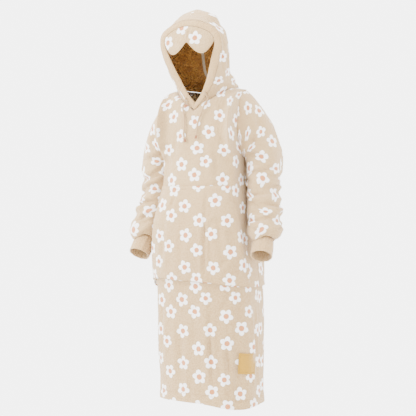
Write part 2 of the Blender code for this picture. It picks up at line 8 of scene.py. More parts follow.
import bpy
import numpy as np
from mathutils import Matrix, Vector


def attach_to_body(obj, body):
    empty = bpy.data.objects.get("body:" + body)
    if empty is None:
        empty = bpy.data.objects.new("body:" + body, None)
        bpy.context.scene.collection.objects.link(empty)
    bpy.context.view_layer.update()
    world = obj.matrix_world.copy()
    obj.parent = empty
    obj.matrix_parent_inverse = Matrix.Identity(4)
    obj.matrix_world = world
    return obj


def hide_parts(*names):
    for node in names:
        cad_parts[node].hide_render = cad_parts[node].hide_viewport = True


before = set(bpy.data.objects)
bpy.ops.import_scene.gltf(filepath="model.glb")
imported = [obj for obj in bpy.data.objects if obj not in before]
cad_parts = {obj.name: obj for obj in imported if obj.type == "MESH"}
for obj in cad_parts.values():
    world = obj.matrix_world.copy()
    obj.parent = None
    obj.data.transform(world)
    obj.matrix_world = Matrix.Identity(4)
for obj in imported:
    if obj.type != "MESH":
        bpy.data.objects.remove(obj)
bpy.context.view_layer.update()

bl_info = {
    "name": "Hooded Plush Garment",
    "version": (1, 0, 0),
    "blender": (4, 5, 0),
    "location": "View3D > Sidebar > Garment",
    "description": "Builds a long hooded plush garment, its flower print, stitches, light and camera",
    "category": "Add Mesh",
}

CLOTH_MAP = "cloth"
BODY_NAME = "root"

# Sizes shared with the solids
HEM_HEIGHT = -1.200
TIER_HEIGHT = -0.745
UNDERARM_HEIGHT = -0.258
ARMHOLE_X = 0.152
ARMHOLE_TALL = 0.258
ARMHOLE_HALF_DEEP = 0.082
SHOULDER_Y = 0.015
SHOULDER_RISE = 0.012
NECK_HALF_WIDTH = 0.1164
NECK_FRONT_Y = -0.137
NECK_FRONT_Z = -0.084
NECK_BACK_Y = 0.075
HOOD_CLOTH = 0.003
LINING_CLOTH = 0.004
SEAM = 0.0003
CORD_DIAMETER = 0.0065
LABEL_SIDE = 0.078
TIER_TUCK = 0.016
TIER_SHOW = 0.010
POCKET_TUCK = 0.002
POCKET_CLEAR = 0.0016
POCKET_PUFF = 0.014
CUFF_START = np.array((0.2520, -0.058, -0.575))
CUFF_RUN = np.array((0.0080, -0.0400, -0.0600))
CUFF_RADIUS_TOP = 0.0385
CUFF_RADIUS_END = 0.0400
MASK_HALF_WIDTH = 0.0995
MASK_THICK = 0.005
MASK_CLEAR = 0.0012
TAPE_WIDTH = 0.011
TAPE_THICK = 0.0012
TAPE_CLEAR = 0.0011
BAND_THICK = 0.009
BAND_CLEAR = 0.0022
RIM_EASE = 0.020
NECK_CLEAR = 0.0006
RIM_START = 0.03
HOOD_LEAN = -0.030
CORD_EXIT_SHARE = 0.72
CORD_HOLE_GAP = 0.0014
CORD_OFF_CHEST = 0.0085
CORD_OFF_HOOD = 0.0135
TIP_LENGTH = 0.012
TIP_WIDER = 1.25
TIP_ROUND_START = 0.86
TIP_STATIONS = 34
LABEL_TURN = 64.0
LABEL_HEIGHT = -1.045
LABEL_TILT = 5.0
LABEL_THICK = 0.0016
LABEL_CLEAR = 0.0014
LABEL_BORDER = 0.0050
LABEL_STITCH_SHARE = 0.09
MASK_SPAN = 0.335
MASK_AIM = np.array((0.0, 0.0, 0.150))
MASK_FRONT = -0.181
MASK_BELLY = 0.026
MASK_STITCH = 0.006
BAND_ROUNDNESS = 0.85
BAND_STITCH = 0.62
POCKET_STITCH = 0.012
POCKET_MOUTH_HEIGHT = -0.475
POCKET_MOUTH_REACH = 0.062
SEAM_EASE = 0.030
PUCKER_LENGTH = 0.013
CUFF_LIP_PLACE = 0.97
CUFF_LIP_WIDTH = 0.05
BAND_GATHERS = ((0.07, 0.021), (0.05, 0.0127))
HOOD_EASE = 0.022
LINING_CURL = 0.0011
PANEL_WAVES = 0.17
NARROW_WAVES = 0.10
TIER_FOLD = 0.020
SLEEVE_REACH = 0.141
SLEEVE_BEND = (20.0, 70.0)

# Where each piece's print starts on its own map, in metres, so that no two pieces
# show the same flowers
PRINT_START = {
    "back_body": 1.0,
    "front_skirt": 2.03,
    "back_skirt": 3.07,
    "pocket": np.array((4.03, 0.04)),
    "sleeve": 5.0,
    "hood": 20.0,
    "mask": np.array((40.055, 0.012)),
}

# How finely each piece is divided
PANEL_COLUMNS = 128
BODY_ROWS = 116
YOKE_ROWS = 60
SKIRT_ROWS = 108
POCKET_COLUMNS = 96
POCKET_ROWS = 88
SLEEVE_SIDES = 96
FAN_RINGS = 44
ROLL_RINGS = 96
CUFF_RINGS = 26
HOOD_ROWS = 84
HOOD_SIDE_COLUMNS = 52
HOOD_BACK_COLUMNS = 44
BAND_STEPS = 110
BAND_SIDES = 20
MASK_COLUMNS = 96
MASK_ROWS = 36
CORD_STEPS = 90
CORD_SIDES = 12
LABEL_STEPS = 40

BODY_SECTIONS = {
    "height": (-0.775, -0.700, -0.640, -0.560, -0.450, -0.350, -0.258),
    "half_width": (0.214, 0.208, 0.200, 0.180, 0.168, 0.153, 0.152),
    "half_depth": (0.176, 0.174, 0.172, 0.170, 0.168, 0.165, 0.160),
    "squareness": (2.6, 2.6, 2.7, 3.0, 3.1, 2.8, 2.6),
    "centre_x": (0.0, 0.0, 0.0, 0.0, 0.0, 0.0, 0.0),
    "centre_y": (0.0, 0.0, 0.0, 0.0, 0.0, 0.0, 0.0),
}
UNDER_GAP = 0.0038
UNDER_BODY = {
    **BODY_SECTIONS,
    "half_width": tuple(size - UNDER_GAP for size in BODY_SECTIONS["half_width"]),
    "half_depth": tuple(size - UNDER_GAP for size in BODY_SECTIONS["half_depth"]),
}
SKIRT_SECTIONS = {
    "height": (-1.230, -1.100, -0.950, -0.800, -0.700),
    "half_width": (0.203, 0.203, 0.203, 0.202, 0.2005),
    "half_depth": (0.166, 0.166, 0.165, 0.165, 0.165),
    "squareness": (2.5, 2.5, 2.6, 2.6, 2.6),
    "centre_x": (0.008, 0.008, 0.005, 0.002, 0.000),
    "centre_y": (0.012, 0.012, 0.006, 0.002, 0.000),
}
TIER_EDGE = {
    "turn": (-180, -135, -90, -45, 0, 45, 90, 135, 180),
    "rise": (-0.008, -0.012, -0.024, 0.018, 0.012, -0.006, -0.010, -0.004, -0.008),
}
HEM_EDGE = {
    "turn": (-180, -135, -90, -45, 0, 45, 90, 135, 180),
    "rise": (-0.004, 0.002, 0.004, 0.006, 0.004, -0.018, -0.008, 0.000, -0.004),
}
BODY_FOLDS = {
    "turn": (-58, 17, 34, 58, -20, 122, -122, 160, -155, 61, -61),
    "spread": (14, 5, 9, 12, 12, 13, 13, 11, 12, 11, 11),
    "out": (0.012, -0.005, 0.004, 0.008, 0.004, 0.010, 0.010, 0.006, 0.005, 0.012, 0.012),
    "top": (-0.36, -0.40, -0.45, -0.38, -0.50, -0.36, -0.36, -0.20, -0.25, -0.14, -0.14),
    "bottom": (-0.72, -0.76, -0.78, -0.72, -0.78, -0.74, -0.74, -0.76, -0.76, -0.44, -0.44),
}
SKIRT_FOLDS = {
    "turn": (20, 47, 66, -35, -74, 110, -115, 150, -165),
    "spread": (6, 6, 10, 12, 9, 10, 12, 9, 11),
    "out": (-0.005, -0.009, 0.005, 0.004, -0.004, -0.008, 0.005, 0.006, -0.006),
    "top": (-0.74, -0.90, -0.80, -0.80, -0.95, -0.85, -0.80, -0.80, -0.85),
    "bottom": (-1.24, -1.30, -1.26, -1.26, -1.28, -1.30, -1.26, -1.26, -1.30),
}
POCKET_EDGE = {
    "height": (-0.760, -0.560, -0.530, -0.500, -0.465, -0.430, -0.395, -0.372),
    "half_reach": (0.760, 0.760, 0.735, 0.695, 0.655, 0.625, 0.610, 0.605),
}
SLEEVE_ROLLS = {
    "drop": (0.272, 0.300, 0.325, 0.343, 0.366, 0.387, 0.411, 0.436, 0.468, 0.502, 0.530, 0.552, 0.566),
    "centre_x": (0.2250, 0.226, 0.226, 0.224, 0.224, 0.225, 0.230, 0.232, 0.240, 0.242, 0.249, 0.253, 0.253),
    "centre_y": (0.021, 0.019, 0.016, 0.012, 0.010, 0.006, 0.001, -0.006, -0.014, -0.026, -0.037, -0.048, -0.054),
    "half_wide": (0.069, 0.067, 0.067, 0.059, 0.066, 0.059, 0.066, 0.059, 0.067, 0.059, 0.067, 0.064, 0.052),
    "half_deep": (0.080, 0.081, 0.081, 0.073, 0.080, 0.071, 0.078, 0.069, 0.075, 0.065, 0.070, 0.064, 0.052),
    "tilt": (0.0, 0.003, 0.010, 0.012, 0.007, -0.004, -0.008, -0.006, 0.007, 0.012, 0.009, 0.004, 0.000),
}
OPENING = {
    "along": (0.00, 0.12, 0.25, 0.38, 0.50, 0.64, 0.76, 0.87, 0.96, 1.00),
    "x": (0.000, 0.024, 0.047, 0.069, 0.086, 0.103, 0.095, 0.062, 0.020, 0.000),
    "y": (-0.126, -0.132, -0.139, -0.154, -0.168, -0.178, -0.186, -0.192, -0.197, -0.197),
    "z": (-0.052, -0.023, 0.020, 0.070, 0.114, 0.166, 0.196, 0.217, 0.229, 0.2305),
    "edge_x": (0.000, 0.041, 0.072, 0.097, 0.116, 0.1290, 0.117, 0.075, 0.025, 0.000),
    "edge_y": (-0.1365, -0.133, -0.134, -0.147, -0.160, -0.169, -0.177, -0.184, -0.190, -0.190),
    "edge_z": (-0.0835, -0.036, 0.010, 0.062, 0.107, 0.170, 0.211, 0.238, 0.2525, 0.2540),
}
EDGE_COLUMNS = ("edge_x", "edge_y", "edge_z")
HOOD_SECTIONS = {
    "along": (0.00, 0.12, 0.28, 0.44, 0.60, 0.74, 0.86, 0.95, 1.00),
    "side_x": (0.1164, 0.122, 0.1265, 0.1295, 0.1310, 0.117, 0.089, 0.058, 0.000),
    "side_y": (0.015, -0.005, -0.038, -0.068, -0.094, -0.106, -0.110, -0.112, -0.115),
    "side_z": (0.012, 0.028, 0.062, 0.108, 0.160, 0.214, 0.257, 0.289, 0.308),
    "back_y": (0.075, 0.064, 0.040, 0.020, 0.008, -0.002, -0.018, -0.038, -0.065),
    "back_z": (0.000, 0.030, 0.068, 0.116, 0.172, 0.224, 0.264, 0.290, 0.306),
}
MASK_EDGE = {
    "across": (-1.0, -0.86, -0.64, -0.40, -0.18, 0.0, 0.18, 0.40, 0.64, 0.86, 1.0),
    "z": (0.165, 0.142, 0.126, 0.132, 0.151, 0.168, 0.151, 0.132, 0.126, 0.142, 0.165),
}
DRAWSTRINGS = {
    "right": {
        "exit": 0.11,
        "x": (-0.036, -0.038, -0.034, -0.030, -0.028, -0.031, -0.027),
        "z": (-0.050, -0.070, -0.094, -0.120, -0.148, -0.172, -0.192),
    },
    "left": {
        "exit": 0.17,
        "x": (0.053, 0.051, 0.041, 0.032, 0.026, 0.025, 0.022),
        "z": (-0.038, -0.062, -0.090, -0.118, -0.142, -0.162, -0.180),
    },
}

# A crease's low ridges: how far off and how wide they are in widths of it, and how high in depths
RIDGE_PLACE = 2.1
RIDGE_WIDTH = 1.3
RIDGE_HEIGHT = 0.55

# Creases, listed one by one, in metres on the cloth: from (across, height), to (across, height), bow,
# half width, depth.
FRONT_CREASES = (
    (0.165, -0.235, 0.085, -0.175, 0.006, 0.009, 0.0034),
    (0.175, -0.262, 0.100, -0.262, 0.010, 0.010, 0.0040),
    (0.178, -0.300, 0.120, -0.345, -0.008, 0.009, 0.0034),
    (0.190, -0.215, 0.138, -0.120, 0.008, 0.008, 0.0030),
    (-0.170, -0.240, -0.095, -0.190, 0.006, 0.009, 0.0032),
    (-0.180, -0.272, -0.095, -0.285, -0.008, 0.011, 0.0036),
    (-0.176, -0.318, -0.118, -0.372, 0.008, 0.009, 0.0030),
    (0.030, -0.120, 0.052, -0.335, -0.010, 0.013, 0.0020),
    (-0.055, -0.110, -0.075, -0.300, 0.012, 0.014, 0.0018),
    (0.072, -0.180, 0.100, -0.400, -0.012, 0.012, 0.0018),
    (0.105, -0.030, 0.150, -0.100, 0.006, 0.010, 0.0020),
    (0.208, -0.420, 0.226, -0.700, 0.010, 0.012, 0.0040),
    (-0.205, -0.430, -0.232, -0.690, -0.008, 0.012, 0.0038),
    (0.252, -0.520, 0.262, -0.735, 0.006, 0.010, 0.0034),
    (-0.262, -0.560, -0.270, -0.740, 0.006, 0.010, 0.0034),
)
POCKET_CREASES = (
    (0.070, -0.385, 0.070, -0.750, 0.006, 0.0065, 0.0034),
    (0.052, -0.560, 0.058, -0.735, -0.004, 0.0060, 0.0018),
    (0.120, -0.470, 0.148, -0.700, 0.008, 0.0120, 0.0026),
    (-0.020, -0.520, -0.034, -0.740, 0.006, 0.0120, 0.0018),
    (-0.110, -0.460, -0.140, -0.710, -0.008, 0.0120, 0.0024),
    (0.130, -0.500, 0.060, -0.545, 0.006, 0.0100, 0.0016),
    (-0.150, -0.520, -0.070, -0.560, -0.006, 0.0110, 0.0016),
    (0.170, -0.640, 0.110, -0.690, 0.006, 0.0090, 0.0018),
    (-0.060, -0.400, -0.078, -0.470, 0.004, 0.0080, 0.0014),
)
BACK_CREASES = (
    (0.170, -0.240, 0.070, -0.165, 0.010, 0.011, 0.0040),
    (0.185, -0.285, 0.090, -0.300, -0.010, 0.011, 0.0040),
    (-0.168, -0.228, -0.080, -0.150, 0.008, 0.010, 0.0036),
    (-0.182, -0.300, -0.098, -0.330, 0.009, 0.012, 0.0040),
    (0.020, -0.080, 0.034, -0.400, 0.014, 0.014, 0.0034),
    (-0.070, -0.130, -0.052, -0.520, -0.012, 0.015, 0.0034),
    (0.100, -0.330, 0.120, -0.720, 0.012, 0.014, 0.0042),
    (-0.135, -0.400, -0.150, -0.740, -0.010, 0.013, 0.0038),
    (0.010, -0.480, -0.012, -0.745, 0.010, 0.014, 0.0036),
    (0.215, -0.450, 0.228, -0.700, 0.008, 0.012, 0.0034),
    (-0.230, -0.520, -0.236, -0.735, 0.006, 0.011, 0.0034),
    (0.062, -0.545, 0.070, -0.748, 0.005, 0.009, 0.0024),
)
FRONT_SKIRT_CREASES = (
    (0.075, -0.775, 0.078, -1.190, 0.008, 0.0080, 0.0036),
    (0.128, -0.930, 0.136, -1.190, -0.006, 0.0085, 0.0034),
    (0.020, -0.790, 0.012, -1.020, 0.008, 0.0120, 0.0020),
    (-0.060, -0.860, -0.075, -1.180, -0.010, 0.0130, 0.0024),
    (-0.140, -0.780, -0.150, -1.050, 0.008, 0.0120, 0.0026),
    (-0.215, -0.840, -0.220, -1.190, 0.006, 0.0120, 0.0034),
    (0.185, -0.770, 0.196, -0.960, 0.006, 0.0110, 0.0022),
    (0.268, -0.800, 0.276, -1.180, -0.006, 0.0110, 0.0034),
    (-0.100, -0.765, -0.035, -0.830, 0.008, 0.0110, 0.0018),
    (0.150, -0.770, 0.110, -0.850, -0.006, 0.0100, 0.0018),
    (-0.010, -1.090, -0.016, -1.195, 0.004, 0.0090, 0.0020),
)
BACK_SKIRT_CREASES = (
    (0.060, -0.770, 0.052, -1.190, 0.012, 0.0130, 0.0044),
    (-0.050, -0.800, -0.062, -1.190, -0.010, 0.0130, 0.0042),
    (0.150, -0.860, 0.164, -1.190, 0.008, 0.0120, 0.0042),
    (-0.160, -0.780, -0.166, -1.120, 0.010, 0.0130, 0.0040),
    (0.236, -0.790, 0.244, -1.160, 0.006, 0.0110, 0.0036),
    (-0.246, -0.870, -0.252, -1.190, 0.006, 0.0110, 0.0036),
    (0.005, -0.780, -0.006, -0.960, 0.006, 0.0110, 0.0028),
    (0.108, -0.775, 0.104, -0.930, -0.005, 0.0100, 0.0026),
)
# On a sleeve: (round, depth below the shoulder) twice, bow, half width, depth.
# Round is from the outer side to the front.
LEFT_SLEEVE_CREASES = (
    (0.030, -0.292, 0.190, -0.318, 0.012, 0.0080, 0.0046),
    (0.075, -0.268, 0.210, -0.250, -0.010, 0.0085, 0.0040),
    (-0.060, -0.352, 0.080, -0.372, 0.008, 0.0055, 0.0036),
    (0.050, -0.402, 0.200, -0.424, -0.006, 0.0055, 0.0036),
    (-0.050, -0.448, 0.090, -0.432, 0.007, 0.0060, 0.0038),
    (0.040, -0.486, 0.170, -0.500, 0.006, 0.0060, 0.0040),
    (-0.070, -0.520, 0.060, -0.548, -0.006, 0.0055, 0.0034),
    (0.085, -0.540, 0.155, -0.520, 0.005, 0.0050, 0.0030),
    (0.100, -0.150, 0.170, -0.240, 0.010, 0.0110, 0.0036),
    (0.020, -0.060, 0.080, -0.170, -0.012, 0.0130, 0.0024),
    (-0.200, -0.240, -0.080, -0.300, 0.010, 0.0095, 0.0044),
    (-0.190, -0.320, -0.050, -0.300, -0.008, 0.0080, 0.0040),
    (-0.180, -0.395, -0.040, -0.380, 0.008, 0.0065, 0.0040),
    (-0.170, -0.470, -0.060, -0.492, -0.008, 0.0065, 0.0040),
    (-0.110, -0.120, -0.150, -0.230, 0.010, 0.0120, 0.0034),
)
RIGHT_SLEEVE_CREASES = (
    (0.020, -0.345, 0.170, -0.300, 0.012, 0.0085, 0.0046),
    (0.050, -0.262, 0.190, -0.232, 0.012, 0.0090, 0.0036),
    (0.010, -0.412, 0.170, -0.362, -0.014, 0.0070, 0.0046),
    (-0.040, -0.380, 0.060, -0.392, 0.006, 0.0060, 0.0034),
    (0.000, -0.478, 0.150, -0.430, -0.016, 0.0070, 0.0046),
    (0.060, -0.520, 0.160, -0.478, -0.010, 0.0060, 0.0040),
    (-0.060, -0.500, 0.050, -0.528, 0.008, 0.0060, 0.0036),
    (0.090, -0.120, 0.165, -0.215, 0.010, 0.0120, 0.0034),
    (0.030, -0.050, 0.060, -0.150, -0.008, 0.0130, 0.0022),
    (-0.190, -0.250, -0.070, -0.290, -0.010, 0.0100, 0.0044),
    (-0.185, -0.335, -0.060, -0.350, 0.008, 0.0085, 0.0042),
    (-0.175, -0.420, -0.050, -0.408, -0.006, 0.0065, 0.0040),
    (-0.160, -0.480, -0.050, -0.462, 0.006, 0.0060, 0.0036),
    (-0.120, -0.100, -0.160, -0.220, -0.010, 0.0120, 0.0034),
)
# On a half of the hood: across is from the rim towards the back.
LEFT_HOOD_CREASES = (
    (0.018, 0.215, 0.030, 0.060, 0.010, 0.0090, 0.0034),
    (0.050, 0.190, 0.070, 0.020, -0.012, 0.0100, 0.0026),
    (0.030, 0.235, 0.120, 0.262, 0.008, 0.0110, 0.0024),
    (0.090, 0.130, 0.170, 0.060, 0.012, 0.0120, 0.0030),
    (0.160, 0.230, 0.190, 0.080, -0.010, 0.0120, 0.0034),
    (0.120, 0.030, 0.220, 0.045, 0.008, 0.0100, 0.0034),
    (0.020, 0.030, 0.070, -0.020, 0.005, 0.0080, 0.0024),
)
RIGHT_HOOD_CREASES = (
    (0.020, 0.190, 0.045, 0.050, -0.010, 0.0090, 0.0034),
    (0.060, 0.220, 0.110, 0.110, 0.010, 0.0110, 0.0028),
    (0.100, 0.100, 0.180, 0.050, 0.010, 0.0110, 0.0032),
    (0.150, 0.220, 0.200, 0.100, 0.010, 0.0120, 0.0034),
    (0.130, 0.028, 0.210, 0.038, -0.006, 0.0100, 0.0032),
    (0.024, 0.020, 0.064, -0.024, -0.005, 0.0080, 0.0024),
)
MASK_CREASES = (
    (0.012, 0.222, 0.006, 0.176, 0.003, 0.0040, 0.0016),
    (-0.004, 0.218, -0.006, 0.180, 0.002, 0.0035, 0.0012),
    (0.030, 0.215, 0.022, 0.185, 0.002, 0.0040, 0.0010),
    (-0.060, 0.190, -0.052, 0.150, -0.002, 0.0050, 0.0012),
)
CAMERA_PLACE = (1.9018, -4.0784, -0.4547)
CAMERA_AIM = (0.0, 0.0, -0.4547)
CAMERA_LENS = 99.3
CAMERA_SENSOR = 36.0
CAMERA_SHIFT = -0.0036
FLOOR_HEIGHT = -1.78
FLOOR_RADIUS = 2.3
FLOOR_SIDES = 96
PAPER_WHITE = 0.863
PAPER_LIGHT = 6.5
# Name, place, aim, size, power and colour
LIGHTS = (
    ("key light", (-2.6, -2.6, 1.5), (0.0, 0.0, -0.4), 1.6, 330.0, (0.93, 0.97, 1.0)),
    ("top light", (-0.6, -0.4, 2.4), (0.0, 0.0, -0.2), 1.4, 90.0, (1.0, 0.99, 0.97)),
)


def length_setting(name, about, default):
    return bpy.props.FloatProperty(name=name, description=about, default=default, unit="LENGTH")


def colour_setting(name, about, default):
    return bpy.props.FloatVectorProperty(
        name=name, description=about, default=default, subtype="COLOR", size=3
    )


class GarmentClothSettings(bpy.types.PropertyGroup):
    """Cloth of the garment."""

    thickness: length_setting("Cloth thickness", "Wall of the plush", 0.0035)
    crease: bpy.props.FloatProperty(
        name="Crease strength", description="Scales every crease laid by hand", default=2.3, subtype="FACTOR"
    )
    nap: length_setting("Nap relief", "How uneven the pile is", 0.00042)
    sway: length_setting("Soft waves", "Height of the slow waves in the cloth", 0.0013)
    hem: length_setting("Hem height", "Turned-up hem of the lower tier", 0.030)
    plush: colour_setting("Plush colour", "Ground of the print", (0.400, 0.268, 0.132))
    lining: colour_setting("Lining colour", "Curly lining", (0.33, 0.155, 0.032))
    tape: colour_setting("Tape colour", "Seam tape", (0.42, 0.33, 0.22))


class GarmentPrintSettings(bpy.types.PropertyGroup):
    """Flower print."""

    spacing: length_setting("Repeat", "Side of one square of the repeat", 0.116)
    flower: length_setting("Flower size", "Petal tip to petal tip", 0.052)
    petal: colour_setting("Petal colour", "Petals", (0.80, 0.78, 0.76))
    middle: colour_setting("Middle colour", "Flower middles", (0.42, 0.13, 0.008))


class GarmentTrimSettings(bpy.types.PropertyGroup):
    """Drawstrings, patch and stitches."""

    stitch: length_setting("Stitch length", "One stitch", 0.0042)
    gap: length_setting("Stitch gap", "Between two stitches", 0.0016)
    thread: length_setting("Thread", "Half thickness of the thread", 0.00055)
    thread_colour: colour_setting("Thread colour", "Seams", (0.34, 0.20, 0.09))
    cord: colour_setting("Drawstring colour", "Drawstrings", (0.36, 0.23, 0.11))
    tip: colour_setting("Tip colour", "Bound ends", (0.26, 0.10, 0.04))
    patch: colour_setting("Patch colour", "Sewn patch", (0.34, 0.18, 0.0006))


def read_table(table, key, column, where):
    """A smooth curve through one column of a table."""
    at = np.asarray(table[key], float)
    value = np.asarray(table[column], float)
    slope = np.gradient(value, at)
    place = np.clip(np.asarray(where, float), at[0], at[-1])
    left = np.clip(np.searchsorted(at, place, side="right") - 1, 0, len(at) - 2)
    span = at[left + 1] - at[left]
    part = (place - at[left]) / span
    rest = 1.0 - part
    ends = value[left] * (1 + 2 * part) * rest**2 + value[left + 1] * (3 - 2 * part) * part**2
    return ends + span * (slope[left] * part * rest**2 - slope[left + 1] * rest * part**2)


def smooth_step(value):
    value = np.clip(value, 0.0, 1.0)
    return value * value * (3.0 - 2.0 * value)


def unit(vectors):
    return vectors / np.maximum(np.linalg.norm(vectors, axis=-1, keepdims=True), 1e-12)


def bell(distance, width):
    """One at no distance, falling smoothly to nought past the width."""
    return np.exp(-((distance / width) ** 2))


def even_turns(count):
    return np.arange(count) * 2 * math.pi / count


def grid_normals(points, wrap=False):
    if wrap:
        across = np.roll(points, -1, axis=1) - np.roll(points, 1, axis=1)
    else:
        across = np.gradient(points, axis=1)
    return unit(np.cross(across, np.gradient(points, axis=0)))


def ease_rows(grid, first, last, passes):
    """Smooths a band of rows, keeping its ends."""
    for _ in range(passes):
        inner = grid[first:last]
        grid[first:last] = inner / 2 + (grid[first - 1 : last - 1] + grid[first + 1 : last + 1]) / 4
    return grid


def lengths_along(points, axis):
    steps = np.linalg.norm(np.diff(points, axis=axis), axis=-1)
    start = np.zeros_like(np.take(steps, [0], axis=axis))
    return np.concatenate([start, np.cumsum(steps, axis=axis)], axis=axis)


def chart_of(grid, middle, guide, wrap=False):
    """Cloth coordinates in metres: across from one column, and up as one guide column runs."""
    closed = np.concatenate([grid, grid[:, :1]], axis=1) if wrap else grid
    across = lengths_along(closed, 1)
    across = across - across[:, middle : middle + 1]
    line = grid[:, guide]
    run = lengths_along(line, 0)
    order = np.argsort(line[:, 2])
    run = run if line[-1, 2] > line[0, 2] else -run
    shift = line[0, 2]
    up = np.interp(closed[..., 2], line[order, 2], np.sort(run)) + shift
    below = closed[..., 2] < line[:, 2].min()
    up[below] += closed[..., 2][below] - line[:, 2].min()
    return np.stack([across, up], axis=-1)


def crease_out(across, height, creases):
    """Soft troughs with a low ridge on each side."""
    total = np.zeros_like(across)
    for x0, z0, x1, z1, bow, width, depth in creases:
        run = math.hypot(x1 - x0, z1 - z0)
        dx, dz = (x1 - x0) / run, (z1 - z0) / run
        part = ((across - x0) * dx + (height - z0) * dz) / run
        near = np.clip(part, 0.0, 1.0)
        off = (across - x0) * dz - (height - z0) * dx - bow * 4 * near * (1 - near)
        fade = np.sin(math.pi * near) ** 0.8 * (0.8 + 0.2 * np.sin(9.0 * near + 40 * x0))
        ridge = bell(np.abs(off) - RIDGE_PLACE * width, RIDGE_WIDTH * width)
        total += depth * fade * (RIDGE_HEIGHT * ridge - bell(off, width))
    return total


def soft_waves(chart, seed, spacing, height):
    draw = np.random.default_rng(seed)
    total = np.zeros(chart.shape[:-1])
    count = 14
    for _ in range(count):
        heading, phase = draw.uniform(0.0, 2 * math.pi, 2)
        length = spacing * draw.uniform(0.7, 1.6)
        place = chart[..., 0] * math.cos(heading) * 1.5 + chart[..., 1] * math.sin(heading) * 0.75
        total += np.sin(place * 2 * math.pi / length + phase)
    return total * height / math.sqrt(count / 2)


def nap(shape, seed):
    grain = np.random.default_rng(seed).normal(size=shape)
    soft = (np.roll(grain, 1, axis=0) + np.roll(grain, -1, axis=0)) / 2
    soft += (np.roll(grain, 1, axis=1) + np.roll(grain, -1, axis=1)) / 2
    return (grain + 0.5 * soft) / 1.2


def edge_fade(chart, reach, rows=True):
    """Nought on the border of a grid and one from a short way in."""
    across = np.minimum(chart[..., 0] - chart[:, :1, 0], chart[:, -1:, 0] - chart[..., 0])
    fade = smooth_step(np.abs(across) / reach)
    if rows:
        from_low = np.abs(chart[..., 1] - chart[:1, :, 1])
        up = np.minimum(from_low, np.abs(chart[-1:, :, 1] - chart[..., 1]))
        fade = fade * smooth_step(up / reach)
    return fade


def shell(name, outer, inner, chart, finish, wrap=False, flip=False):
    """A closed thin wall between two grids, with its cloth map."""
    rows, columns = outer.shape[:2]
    count = rows * columns
    points = np.concatenate([outer.reshape(-1, 3), inner.reshape(-1, 3)])
    index = np.arange(count).reshape(rows, columns)
    here = index if wrap else index[:, :-1]
    beside = np.roll(index, -1, axis=1) if wrap else index[:, 1:]
    map_here = chart[:, :-1]
    map_beside = chart[:, 1:]
    corners = [here[:-1], beside[:-1], beside[1:], here[1:]]
    places = [map_here[:-1], map_beside[:-1], map_beside[1:], map_here[1:]]
    faces = [np.stack(corners, -1).reshape(-1, 4), np.stack(corners[::-1], -1).reshape(-1, 4) + count]
    maps = [np.stack(places, -2).reshape(-1, 4, 2), np.stack(places[::-1], -2).reshape(-1, 4, 2)]

    def strip(a, b, map_a, map_b):
        faces.append(np.stack([a, b, b + count, a + count], -1))
        maps.append(np.stack([map_a, map_b, map_b, map_a], -2))

    strip(beside[0], here[0], map_beside[0], map_here[0])
    strip(here[-1], beside[-1], map_here[-1], map_beside[-1])
    if not wrap:
        strip(index[:-1, 0], index[1:, 0], chart[:-1, 0], chart[1:, 0])
        strip(index[1:, -1], index[:-1, -1], chart[1:, -1], chart[:-1, -1])
    faces = np.concatenate(faces)
    maps = np.concatenate(maps)
    if flip:
        faces = faces[:, ::-1]
        maps = maps[:, ::-1]
    return mesh_piece(name, points, faces, maps, finish)


def mesh_piece(name, points, faces, maps, finish, sharp=50.0):
    mesh = bpy.data.meshes.new(name)
    mesh.from_pydata(points.tolist(), [], faces.tolist())
    layer = mesh.uv_layers.new(name=CLOTH_MAP)
    layer.data.foreach_set("uv", np.ascontiguousarray(maps, np.float32).ravel())
    mesh.shade_smooth()
    mesh.set_sharp_from_angle(angle=math.radians(sharp))
    made = bpy.data.objects.new(name, mesh)
    made.data.materials.append(finish)
    bpy.context.scene.collection.objects.link(made)
    return made


def attach(piece, nodes):
    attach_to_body(piece, BODY_NAME)
    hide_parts(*nodes)


def node(tree, kind, inputs=None, **settings):
    """Adds a node, sets its properties, and sets or links its inputs."""
    made = tree.nodes.new(kind)
    for key, value in settings.items():
        setattr(made, key, value)
    for key, value in (inputs or {}).items():
        socket = made.inputs[key]
        if isinstance(value, bpy.types.NodeSocket):
            tree.links.new(value, socket)
        else:
            socket.default_value = value
    return made


def maths(tree, operation, first, second=0.0, third=0.0, clamp=False):
    return node(
        tree, "ShaderNodeMath", {0: first, 1: second, 2: third}, operation=operation, use_clamp=clamp
    ).outputs[0]


def vector_maths(tree, operation, first, second=(0.0, 0.0, 0.0)):
    made = node(tree, "ShaderNodeVectorMath", {0: first, 1: second}, operation=operation)
    return made.outputs[1 if operation in ("LENGTH", "DOT_PRODUCT") else 0]


def mix_colours(tree, share, first, second):
    made = node(tree, "ShaderNodeMix", {"Factor": share}, data_type="RGBA")
    for socket, value in zip((made.inputs[6], made.inputs[7]), (first, second)):
        if isinstance(value, bpy.types.NodeSocket):
            tree.links.new(value, socket)
        else:
            socket.default_value = (*value, 1.0)
    return made.outputs[2]


def ramp(tree, value, low, high, start=0.0, end=1.0):
    made = node(
        tree,
        "ShaderNodeMapRange",
        {"Value": value, "From Min": low, "From Max": high, "To Min": start, "To Max": end},
        interpolation_type="SMOOTHSTEP",
    )
    return made.outputs["Result"]


def noise(tree, place, scale, detail=2.0, roughness=0.5):
    made = node(
        tree,
        "ShaderNodeTexNoise",
        {"Vector": place, "Scale": scale, "Detail": detail, "Roughness": roughness},
    )
    return made.outputs["Fac"]


def cells(tree, place, scale, feature="F1"):
    made = node(tree, "ShaderNodeTexVoronoi", {"Vector": place, "Scale": scale}, feature=feature)
    return made.outputs["Distance"]


def tinted(colour, by):
    return tuple(min(1.0, max(0.0, c * b)) for c, b in zip(colour, by))


def new_finish(name):
    """A material with its node tree, which holds only the default shader and the output."""
    made = bpy.data.materials.new(name)
    made.use_nodes = True
    tree = made.node_tree
    return made, tree, tree.nodes["Principled BSDF"]


